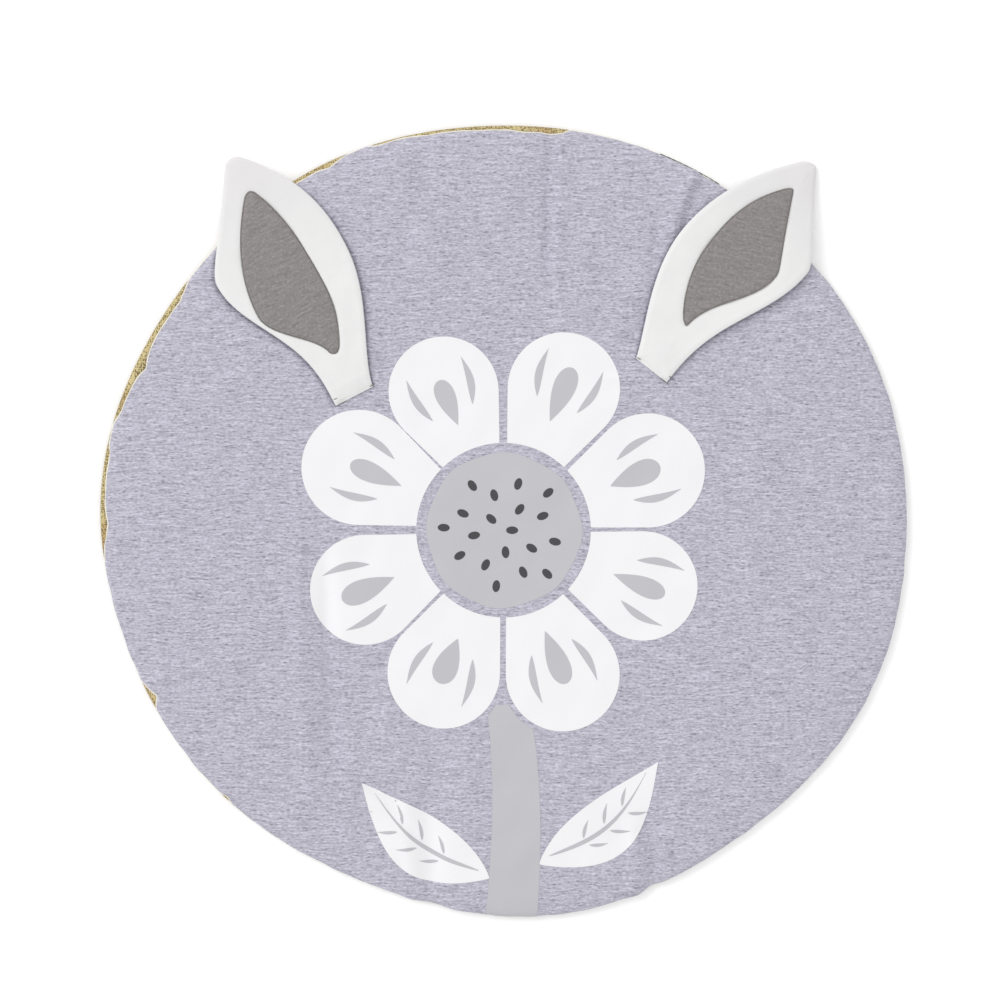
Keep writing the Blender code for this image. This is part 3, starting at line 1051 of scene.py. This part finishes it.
def rim_shadow_threads(finish):
    """Dark thread in short lengths at the rim's widest line: a painted shadow where the seam's shade falls.
    """
    runs = []
    for first, last in RIM_SHADOW_RUNS:
        starts = np.arange(first, last, RIM_TACK_LENGTH)
        ends = starts + RIM_TACK_LENGTH * RIM_TACK_OVERLAP
        runs += zip(*(on_section(at, RIM_TACK_ANGLE, RIM_TACK_DEPTH) for at in (starts, ends)))
    return stitches("rim_shadow_threads", runs, RIM_SHADOW_THREAD, finish)


def corner_tacks_and_fold_shade(leaf, finish):
    """Dark thread tacks at the two corners of the flap's base; the longest, along the base's edge, is
    painted shade of the fold there.
    """
    runs = []
    for a0, w0, a1, w1 in CORNER_TACKS_AND_FOLD_SHADE[leaf.side]:
        ends = np.array(((a0, w0), (a1, w1))) * MM
        runs.append([leaf.at(np.array(a), np.array(w), CORNER_TACK_LEVEL) for a, w in ends])
    return stitches(f"corner_tacks_and_fold_shade_{leaf.side}", runs, CORNER_THREAD, finish)


# ---- The print: outlines -------------------------------------------------------------------------


def arc(centre, radius, first, last, count):
    """Points along a circle, between two bearings."""
    turn = np.radians(np.linspace(first, last, count))
    return np.stack((centre[0] + radius * np.cos(turn), centre[1] + radius * np.sin(turn)), -1)


def petal_outline(number):
    """A petal along +x: straight sides that leave an even gap, a round end, and a hollow inner end."""
    half = 180 / PETALS
    gap = PETAL_GAP / 2
    centre = PETAL_ROUND * (1 + PETAL_UNEVENNESS * math.sin(2.4 * number + 0.7))
    radius = centre * math.sin(math.radians(half)) - gap
    end = arc((centre, 0), radius, -(90 + half), 90 + half, 60)
    corner = half - math.degrees(math.asin(gap / PETAL_INNER))
    inner = arc((0, 0), PETAL_INNER, corner, -corner, 20)
    return np.concatenate((end, inner))


def drop_outline(length, width):
    """A drop along +x with its point towards -x, centred on its length."""
    t = np.linspace(0, 2 * np.pi, 60, endpoint=False)
    belly = np.sin(t) * np.abs(np.cos(t / 2)) ** 1.1 / 0.80  # about 1 at its widest
    return np.stack((length / 2 * np.cos(t), width / 2 * belly), -1)


def ellipse_outline(length, width):
    """An ellipse, longest along x."""
    t = np.linspace(0, 2 * np.pi, 28, endpoint=False)
    return np.stack((length / 2 * np.cos(t), width / 2 * np.sin(t)), -1)


def blade(start, end, bow, half_width, power=0.85):
    """A leaf blade or a tapering line from start to end, bowed to one side. A lower power puts its widest
    place nearer to the start."""
    start, end = np.array(start), np.array(end)
    run = end - start
    across = np.array((-run[1], run[0])) / np.hypot(*run)
    s = np.linspace(0, 1, 40)
    middle = start + run * s[:, None] + across * (bow * np.sin(np.pi * s))[:, None]
    half = np.maximum(half_width * np.sin(np.pi * s**power), THINNEST_INK)
    one, other = middle + across * half[:, None], middle - across * half[:, None]
    return np.concatenate((one, other[::-1]))


THINNEST_INK = 0.0003  # half the width that a blade keeps at its points
STEM_TOP = (0.0, -0.185)
STEM_HALF_WIDTHS = (0.023, 0.029)
STEM_BOW = 0.014
STEM_BOW_SHARE = 0.8  # of half a wave, which the stem's bow has run through at its foot
STEM_START = 0.001  # the least width at its pointed top
FOOT_INSET = 0.002  # the stem ends this far inside the seam
LEAVES = (
    # where the leaf leaves the stem, its tip, bow, half-width
    ((-0.016, -0.398), (-0.158, -0.292), 0.016, 0.034),
    ((0.040, -0.382), (0.172, -0.268), -0.018, 0.033),
)


def stem_outline():
    """The stem, from its top between two petals, a gap clear of them, down over the rim to the seam."""
    down = np.linspace(0, 1, 90)
    bottom = seam_radius(np.array(270.0)) - FOOT_INSET
    y = STEM_TOP[1] + (HUB[1] - bottom - STEM_TOP[1]) * down**1.3
    middle = STEM_TOP[0] + STEM_BOW * np.sin(np.pi * STEM_BOW_SHARE * down)
    half = STEM_HALF_WIDTHS[0] + (STEM_HALF_WIDTHS[1] - STEM_HALF_WIDTHS[0]) * down
    petals = np.concatenate([evenly(petal, 0.002) for petal in petal_outlines()])
    sides = []
    for side in (-1, 1):
        shares = np.linspace(0, 1, 40)
        x = middle[:, None] + side * half[:, None] * shares
        at = np.stack((x, np.broadcast_to(y[:, None], x.shape)), -1).reshape(-1, 2)
        clear = (nearest(at, petals) > PETAL_GAP).reshape(x.shape)
        reach = np.where(clear.all(1), 1, shares[np.argmin(clear, 1)])
        sides.append(np.stack((middle + side * half * reach, y), -1))
    left, right = sides
    started = (right[:, 0] - left[:, 0]) > STEM_START
    left, right = left[started], right[started]
    x = np.linspace(left[-1, 0], right[-1, 0], 20)[1:-1]
    bearing = 270 + np.degrees(np.arcsin((x - HUB[0]) / bottom))
    foot = np.stack(flat_xy(bearing, seam_radius(bearing) - FOOT_INSET), -1)
    return np.concatenate((left, foot, right[::-1]))


def blossom_bearings():
    """The bearing of each petal, a degree astray at most."""
    return [180 / PETALS + 360 / PETALS * k + math.sin(3.7 * k) for k in range(PETALS)]


def petal_outlines():
    """Every petal in its place."""
    bearings = enumerate(blossom_bearings())
    return [turned(petal_outline(k), bearing, BLOSSOM_CENTRE) for k, bearing in bearings]


def white_outlines():
    """The petals and the leaves."""
    return petal_outlines() + [blade(start, tip, bow, half) for start, tip, bow, half in LEAVES]


def grey_outlines():
    """The blossom's eye and the stem."""
    t = np.linspace(0, 2 * np.pi, 120, endpoint=False)
    waves = sum(height * np.cos(count * t + phase) for count, height, phase in EYE_WAVES)
    eye = EYE_RADIUS * (1 + waves)
    x, y = BLOSSOM_CENTRE[0] + eye * np.cos(t), BLOSSOM_CENTRE[1] + eye * np.sin(t)
    return [np.stack((x, y), -1), stem_outline()]


# A drop on each petal, between two slim strokes. The strays make each petal's marks a little different.
DROP_PLACE, DROP_PLACE_STRAY = 0.158, 0.006  # how far its middle lies from the blossom's
DROP_LENGTH, DROP_LENGTH_STRAY = 0.060, 0.006
DROP_WIDTH, DROP_WIDTH_STRAY = 0.026, 0.003
STROKE_START = (-0.012, 0.024)  # outwards and aside of the drop's middle
STROKE_END = (0.042, 0.033)
STROKE_BOW = 0.004
STROKE_HALF_WIDTH = 0.0042

# The veins of the leaves: a midrib, and pairs that leave it towards the tip.
MIDRIB_START, MIDRIB_END = 0.08, 0.90  # shares of the leaf's length
MIDRIB_BOW = 0.98  # of the leaf's own
MIDRIB_HALF_WIDTH = 0.0024
VEIN_PLACES = (0.32, 0.48, 0.64)
VEIN_START = 0.005  # clear of the midrib's middle
VEIN_ONWARDS = 0.10  # of the leaf's length
VEIN_ASIDE = 0.62  # of the leaf's half-width there
VEIN_BOW = 0.001
VEIN_HALF_WIDTH = 0.0019


def marking_outlines():
    """A drop between two slim strokes on each petal, and the leaves' veins."""
    found = []
    for k, bearing in enumerate(blossom_bearings()):
        place = DROP_PLACE + DROP_PLACE_STRAY * math.sin(1.9 * k)
        length = DROP_LENGTH + DROP_LENGTH_STRAY * math.sin(2.2 * k)
        width = DROP_WIDTH + DROP_WIDTH_STRAY * math.cos(1.3 * k)
        marks = [drop_outline(length, width) + (place, 0.0)]
        for side in (-1, 1):
            root = (place + STROKE_START[0], side * STROKE_START[1])
            end = (place + STROKE_END[0], side * STROKE_END[1])
            marks.append(blade(root, end, side * STROKE_BOW, STROKE_HALF_WIDTH))
        found += [turned(mark, bearing, BLOSSOM_CENTRE) for mark in marks]
    for start, tip, bow, half in LEAVES:
        start, tip = np.array(start), np.array(tip)
        run = tip - start
        across = np.array((-run[1], run[0])) / np.hypot(*run)
        root, end = start + run * MIDRIB_START, start + run * MIDRIB_END
        found.append(blade(root, end, bow * MIDRIB_BOW, MIDRIB_HALF_WIDTH, power=0.6))
        for share in VEIN_PLACES:
            bulge = math.sin(math.pi * share)
            middle = start + run * share + across * bow * bulge
            for side in (-1, 1):
                root = middle + across * side * VEIN_START
                end = middle + run * VEIN_ONWARDS + across * side * half * VEIN_ASIDE * bulge
                found.append(blade(root, end, side * VEIN_BOW, VEIN_HALF_WIDTH, power=0.75))
    return found


def seed_outlines():
    """Seeds in the order that they grow, each turned outwards."""
    found = []
    for k in range(SEEDS):
        reach = SEED_SPACING * math.sqrt(k + 0.35)
        found.append(turned(ellipse_outline(*SEED_SIZE) + (reach, 0.0), SEED_TURN * k, BLOSSOM_CENTRE))
    return found


# ---- The print: inked shapes ---------------------------------------------------------------------


def within(points, outline):
    """Which of the points lie inside a closed outline."""
    x, y = points[:, 0], points[:, 1]
    found = np.zeros(len(points), bool)
    for (x0, y0), (x1, y1) in zip(outline, np.roll(outline, -1, 0)):
        if y0 == y1:
            continue
        crosses = (y0 > y) != (y1 > y)
        found ^= crosses & (x < (x1 - x0) * (y - y0) / (y1 - y0) + x0)
    return found


def filled(outline, spacing):
    """Points and triangles that fill an outline: its own points and a staggered grid inside."""
    outline = evenly(outline, OUTLINE_SPACING)
    low, high = outline.min(0), outline.max(0)
    columns = np.arange(low[0], high[0], spacing)
    row_height = spacing * 0.866  # the rows' triangles have equal sides
    grid = []
    for row, y in enumerate(np.arange(low[1], high[1], row_height)):
        grid.append(np.stack((columns + spacing / 2 * (row % 2), np.full_like(columns, y)), -1))
    inner = np.concatenate(grid) if grid else np.zeros((0, 2))
    inner = inner[within(inner, outline)]
    inner = inner[nearest(inner, outline) > spacing * 0.5] if len(inner) else inner
    points = [Vector(p) for p in np.concatenate((outline, inner))]
    found = delaunay_2d_cdt(points, [], [list(range(len(outline)))], 1, 1e-7)
    return np.array([tuple(p) for p in found[0]]), np.array([list(f) for f in found[2]])


def ink(name, outlines, level, finish):
    """A printed layer: every outline filled and laid on the jersey, this far above it."""
    points, faces, first = [], [], 0
    for outline in outlines:
        flat, triangles = filled(outline, PRINT_SPACING)
        ends = np.concatenate((triangles[:, (0, 1)], triangles[:, (1, 2)], triangles[:, (2, 0)]))
        both_ways = {tuple(e) for e in ends.tolist()}
        rim = [e for e in both_ways if (e[1], e[0]) not in both_ways]
        count = len(flat)
        x, y = flat.T
        points += [skin(x, y, level), skin(x, y, level - INK_THICKNESS)]
        faces += (triangles + first).tolist()
        faces += (triangles[:, ::-1] + first + count).tolist()
        faces += [[q + first, p + first, p + first + count, q + first + count] for p, q in rim]
        first += 2 * count
    return piece(name, np.concatenate(points), faces, finish, sharp=45)


# ---- Finishes ------------------------------------------------------------------------------------


def srgb(code):
    """Linear colour of an sRGB hex value."""
    channels = [int(code[i:i + 2], 16) / 255 for i in (1, 3, 5)]
    return (*[c / 12.92 if c <= 0.04045 else ((c + 0.055) / 1.055) ** 2.4 for c in channels], 1.0)


def node(tree, kind, inputs=None, **settings):
    """Adds one node. Settings are its own properties, and each input is a value or the output that feeds
    it."""
    made = tree.nodes.new("ShaderNode" + kind)
    for name, value in settings.items():
        setattr(made, name, value)
    for socket, value in (inputs or {}).items():
        if isinstance(value, bpy.types.NodeSocket):
            tree.links.new(value, made.inputs[socket])
        else:
            made.inputs[socket].default_value = value
    return made


def finish_of(name, build, **sockets):
    """A material: build makes its colour and its bump height, and sockets set the shader's own values."""
    made = bpy.data.materials.new(name)
    made.use_nodes = True
    tree = made.node_tree
    shader = tree.nodes["Principled BSDF"]
    place = node(tree, "TexCoord").outputs["Object"]
    colour, height, distance = build(tree, place)
    tree.links.new(colour, shader.inputs["Base Color"])
    bump = node(tree, "Bump", {"Strength": 1.0, "Distance": distance, "Height": height})
    tree.links.new(bump.outputs["Normal"], shader.inputs["Normal"])
    for socket, value in sockets.items():
        shader.inputs[socket.replace("_", " ")].default_value = value
    made.diffuse_color = shader.inputs["Base Color"].default_value
    return made


def marl(tree, dark, light, layers, spread, slubs):
    """Marl yarn: light and dark fibres that run along the courses as short wavy streaks. Each layer of
    streaks has its own length, height and share, and the sum shows as a mix of the two shades. Slubs are
    sparse short knots of pale and of dark fibre, this far apart along and across, and this strong. A yarn
    is about 0.3 mm thick, too fine to show, so the streaks and the slubs are drawn coarser."""
    cloth = node(tree, "Attribute", attribute_name="laid_flat", attribute_type="GEOMETRY")
    laid = cloth.outputs["Vector"]
    sway = node(tree, "TexNoise", {"Vector": laid, "Scale": 34.0, "Detail": 1.0})
    moved = {0: sway.outputs["Color"], 1: (0, 0.009, 0), 2: laid}  # 9 mm at most, across the courses
    swayed = node(tree, "VectorMath", moved, operation="MULTIPLY_ADD")
    total = 0.0
    for length, height, share in layers:
        counted = {0: swayed.outputs[0], 1: (1 / length, 1 / height, 0)}
        along = node(tree, "VectorMath", counted, operation="MULTIPLY")
        run = {"Vector": along.outputs[0], "Scale": 1.0, "Detail": 0.0}
        streaks = node(tree, "TexNoise", run, noise_dimensions="2D")
        added = {0: streaks.outputs["Fac"], 1: share, 2: total}
        total = node(tree, "Math", added, operation="MULTIPLY_ADD").outputs[0]
    for apart, strength in slubs:
        counted = {0: laid, 1: (1 / apart[0], 1 / apart[1], 0)}
        along = node(tree, "VectorMath", counted, operation="MULTIPLY")
        run = {"Vector": along.outputs[0], "Scale": 1.0}
        near = node(tree, "TexVoronoi", run, voronoi_dimensions="2D").outputs["Distance"]
        slub = node(tree, "MapRange", {"Value": near, "From Min": 0.18, "From Max": 0.10})
        added = {0: slub.outputs[0], 1: strength, 2: total}
        total = node(tree, "Math", added, operation="MULTIPLY_ADD").outputs[0]
    middle = sum(share for _, _, share in layers) / 2
    ends = {"From Min": middle - spread, "From Max": middle + spread}
    mixed = node(tree, "MapRange", {"Value": total, **ends})
    colour = node(tree, "Mix", {0: mixed.outputs[0], 6: srgb(dark), 7: srgb(light)}, data_type="RGBA")
    return colour.outputs[2], total


def marl_jersey():
    """Cotton jersey knitted from marl yarn: lilac-grey, broken by short pale and dark streaks, quite
    matt."""

    def build(tree, place):
        streaks = ((0.040, 0.0021, 0.70), (0.012, 0.0019, 0.62), (0.0034, 0.0018, 0.95))
        slubs = (((0.0200, 0.0040), 0.60), ((0.0170, 0.0042), -0.50))
        colour, height = marl(tree, "#898693", "#D3D1DF", streaks, 0.83, slubs)
        return colour, height, 0.0003

    return finish_of("marl cotton jersey", build, Roughness=0.93, Sheen_Weight=0.08, IOR=1.45)


def taupe_jersey():
    """Finer marl jersey in taupe: an even mid tone with a soft grain."""

    def build(tree, place):
        streaks = ((0.0300, 0.0030, 0.55), (0.0100, 0.0022, 0.60), (0.0030, 0.0022, 0.85))
        colour, height = marl(tree, "#6D6969", "#9A9594", streaks, 0.92, (((0.0110, 0.0050), 0.50),))
        return colour, height, 0.00012

    return finish_of("taupe marl jersey", build, Roughness=0.93, Sheen_Weight=0.08, IOR=1.45)


def pigment_ink(name, code, paler):
    """Screen-printed pigment on jersey: an even matt colour, with the knit only just felt through it."""

    def build(tree, place):
        knit = node(tree, "TexNoise", {"Vector": place, "Scale": 420.0, "Detail": 2.0})
        patches = node(tree, "TexNoise", {"Vector": place, "Scale": 22.0, "Detail": 3.0})
        shades = {6: srgb(code), 7: srgb(paler)}
        colour = node(tree, "Mix", {0: patches.outputs["Fac"], **shades}, data_type="RGBA")
        return colour.outputs[2], knit.outputs["Fac"], 0.00012

    return finish_of(name, build, Roughness=0.62, IOR=1.48)


def brushed_cotton():
    """White brushed cotton: a soft nap that scatters the light, a little warmer than the print, and greyed
    at the tips by painted shade, where they droop over the rim."""

    def build(tree, place):
        nap = node(tree, "TexNoise", {"Vector": place, "Scale": 560.0, "Detail": 3.0, "Roughness": 0.7})
        patches = node(tree, "TexNoise", {"Vector": place, "Scale": 60.0, "Detail": 3.0})
        whites = {6: srgb("#DEDFDE"), 7: srgb("#E6E6E5")}
        colour = node(tree, "Mix", {0: patches.outputs["Fac"], **whites}, data_type="RGBA").outputs[2]
        cloth = node(tree, "Attribute", attribute_name="laid_flat", attribute_type="GEOMETRY")
        along = node(tree, "SeparateXYZ", {0: cloth.outputs["Vector"]}).outputs["Y"]
        # Painted shade: the tips, which droop over the rim, are greyed towards #DAD8D9.
        tip = node(tree, "MapRange", {"Value": along, "From Min": 0.15, "From Max": 0.28}).outputs[0]
        tip_painted_shade = node(tree, "Mix", {0: tip, 6: colour, 7: srgb("#DAD8D9")}, data_type="RGBA")
        return tip_painted_shade.outputs[2], nap.outputs["Fac"], 0.00025

    return finish_of("white brushed cotton", build, Roughness=0.95, Sheen_Weight=0.15, IOR=1.45)


def flecked_cotton():
    """Plain-woven cotton in mustard, printed all over with small brown flecks about 2.4 mm apart. Painted
    shade darkens it under the rim's widest line, where it turns under, and it is rusty in patches."""

    def build(tree, place):
        counted = {0: place, 1: (415.0, 415.0, 440.0)}
        lattice = node(tree, "VectorMath", counted, operation="MULTIPLY").outputs[0]
        flecks = node(tree, "TexVoronoi", {"Vector": lattice, "Scale": 1.0, "Randomness": 0.6})
        off_fleck = flecks.outputs["Distance"]
        mark = node(tree, "MapRange", {"Value": off_fleck, "From Min": 0.50, "From Max": 0.38}).outputs[0]
        shade = node(tree, "TexNoise", {"Vector": place, "Scale": 130.0, "Detail": 2.0}).outputs["Fac"]
        yellows = {6: srgb("#B3A273"), 7: srgb("#D6C797")}
        ground = node(tree, "Mix", {0: shade, **yellows}, data_type="RGBA").outputs[2]
        rust = node(tree, "TexNoise", {"Vector": place, "Scale": 26.0, "Detail": 0.0}).outputs["Fac"]
        patchy = {"Value": rust, "From Min": 0.62, "From Max": 0.74, "To Max": 0.5}
        rusty = node(tree, "MapRange", patchy).outputs[0]
        warm = node(tree, "Mix", {0: rusty, 6: ground, 7: srgb("#A6804F")}, data_type="RGBA").outputs[2]
        # Painted shade: darker and browner low on the rim, where the cloth turns under.
        height = node(tree, "SeparateXYZ", {0: place}).outputs["Z"]
        under = {"Value": height, "From Min": 0.0090, "From Max": 0.0074, "To Max": 0.8}
        low = node(tree, "MapRange", under).outputs[0]
        shaded_under_rim = node(tree, "Mix", {0: low, 6: warm, 7: srgb("#83764F")}, data_type="RGBA").outputs[2]
        colour = node(tree, "Mix", {0: mark, 6: shaded_under_rim, 7: srgb("#766644")}, data_type="RGBA")
        weave = node(tree, "TexNoise", {"Vector": place, "Scale": 900.0, "Detail": 2.0})
        return colour.outputs[2], weave.outputs["Fac"], 0.0002

    return finish_of("flecked mustard cotton", build, Roughness=0.88, IOR=1.45)


def sewing_thread(name, dark, light):
    """Spun polyester thread: a slight gloss, a little lighter along its twist."""

    def build(tree, place):
        twist = node(tree, "TexNoise", {"Vector": place, "Scale": 1500.0, "Detail": 1.0}).outputs["Fac"]
        colour = node(tree, "Mix", {0: twist, 6: srgb(dark), 7: srgb(light)}, data_type="RGBA")
        return colour.outputs[2], twist, 0.0001

    return finish_of(name, build, Roughness=0.6, IOR=1.5)


def studio_floor():
    """Matt white acrylic board, lit a little from below: even, with the faintest mottle, and pale
    shadows."""

    def build(tree, place):
        mottle = node(tree, "TexNoise", {"Vector": place, "Scale": 3.0, "Detail": 2.0}).outputs["Fac"]
        whites = {6: srgb("#F9F9F9"), 7: srgb("#FBFBFB")}
        colour = node(tree, "Mix", {0: mottle, **whites}, data_type="RGBA")
        return colour.outputs[2], mottle, 0.0001

    return finish_of("matt white board", build, Roughness=0.9, IOR=1.45, Emission_Strength=0.09)


# ---- The studio ----------------------------------------------------------------------------------

CAMERA_LENS = 85.0
CAMERA_SENSOR = 36.0
FRAME_WIDTH = 1.115  # across the mat, seen from above
FRAME_LEVEL = 0.015  # the height at which it is that wide
FRAME_CENTRE = (-0.0040, 0.0236)

FLOOR_REACH = 40.0
FLOOR_DEPTH = 0.0004  # clear of the mat's own underside
WINDOW_TOWARDS = (0.9, -0.65, -0.80)
WINDOW_STRENGTH = 1.08
WINDOW_SOFTNESS = 34
ROOM_STRENGTH = 0.91


def camera():
    """A camera straight above the mat."""
    data = bpy.data.cameras.new("overhead")
    data.lens = CAMERA_LENS
    data.sensor_width = CAMERA_SENSOR
    made = bpy.data.objects.new("overhead", data)
    height = FRAME_WIDTH * CAMERA_LENS / CAMERA_SENSOR + FRAME_LEVEL
    made.location = (*FRAME_CENTRE, height)
    bpy.context.scene.collection.objects.link(made)
    bpy.context.scene.camera = made


def sunlight(name, towards, strength, softness):
    """Even light over the whole mat from one side. Softness is the angle that it seems to fill, in
    degrees."""
    data = bpy.data.lights.new(name, "SUN")
    data.energy = strength
    data.angle = math.radians(softness)
    made = bpy.data.objects.new(name, data)
    made.rotation_euler = Vector(towards).to_track_quat("-Z", "Y").to_euler()
    bpy.context.scene.collection.objects.link(made)


def studio():
    """The floor, a soft window light from the upper left, and the light of a white room."""
    floor = bpy.data.meshes.new("floor")
    reach = FLOOR_REACH
    corners = [(-reach, -reach, 0), (reach, -reach, 0), (reach, reach, 0), (-reach, reach, 0)]
    floor.from_pydata(corners, [], [(0, 1, 2, 3)])
    floor.materials.append(studio_floor())
    board = bpy.data.objects.new("floor", floor)
    board.location.z = -FLOOR_DEPTH
    bpy.context.scene.collection.objects.link(board)
    sunlight("window", WINDOW_TOWARDS, WINDOW_STRENGTH, WINDOW_SOFTNESS)
    world = bpy.data.worlds.new("studio")
    world.use_nodes = True
    background = world.node_tree.nodes["Background"]
    background.inputs["Color"].default_value = (1.0, 1.0, 1.0, 1.0)
    background.inputs["Strength"].default_value = ROOM_STRENGTH
    bpy.context.scene.world = world
    bpy.context.scene.view_settings.view_transform = "Standard"


# ---- Putting it together -------------------------------------------------------------------------


def main():
    """Makes the mat, its flaps, its stitching and its print, and then the studio round it."""
    jersey, cotton, white, taupe = marl_jersey(), flecked_cotton(), brushed_cotton(), taupe_jersey()
    top = mat_top(jersey)
    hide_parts("padded_body")
    # The seam's pale roll: real overcast thread, its pale cream partly a painted highlight.
    seam_edge(sewing_thread("cream thread and painted highlight", "#DCD8CC", "#EAE6DC"))
    under = backing(cotton)
    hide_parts("backing_sheet")

    pale_thread = sewing_thread("white thread", "#E4E2E2", "#F2F0F0")
    dark_thread_and_shade = sewing_thread("dark thread and painted shade", "#55574F", "#74766C")
    taupe_thread = sewing_thread("taupe thread", "#6A6461", "#807A76")
    for number, side in enumerate(FLAPS):
        leaf = Leaf(side)
        soft = flap(leaf, FIRST_RIPPLE_SEED + number, white)
        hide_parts(f"leaf_flap_{side}")
        inset = panel(leaf, taupe)
        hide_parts(f"leaf_panel_{side}")
        panel_stitching(leaf, taupe_thread)
        base_stitching(leaf, pale_thread)
        corner_tacks_and_fold_shade(leaf, dark_thread_and_shade)
    # Painted shadow of the seam at the rim's upper right.
    rim_shadow_threads(dark_thread_and_shade)

    white_ink = pigment_ink("white pigment ink", "#E7E6E8", "#ECEBED")
    grey_ink = pigment_ink("grey pigment ink", "#B6B5BA", "#BDBCC1")
    charcoal_ink = pigment_ink("charcoal pigment ink", "#3C3B3F", "#424145")
    ink("print_white", white_outlines(), FIRST_PASS, white_ink)
    ink("print_grey", grey_outlines(), FIRST_PASS, grey_ink)
    ink("print_markings", marking_outlines(), SECOND_PASS, grey_ink)
    ink("print_seeds", seed_outlines(), SECOND_PASS, charcoal_ink)

    studio()
    camera()


main()
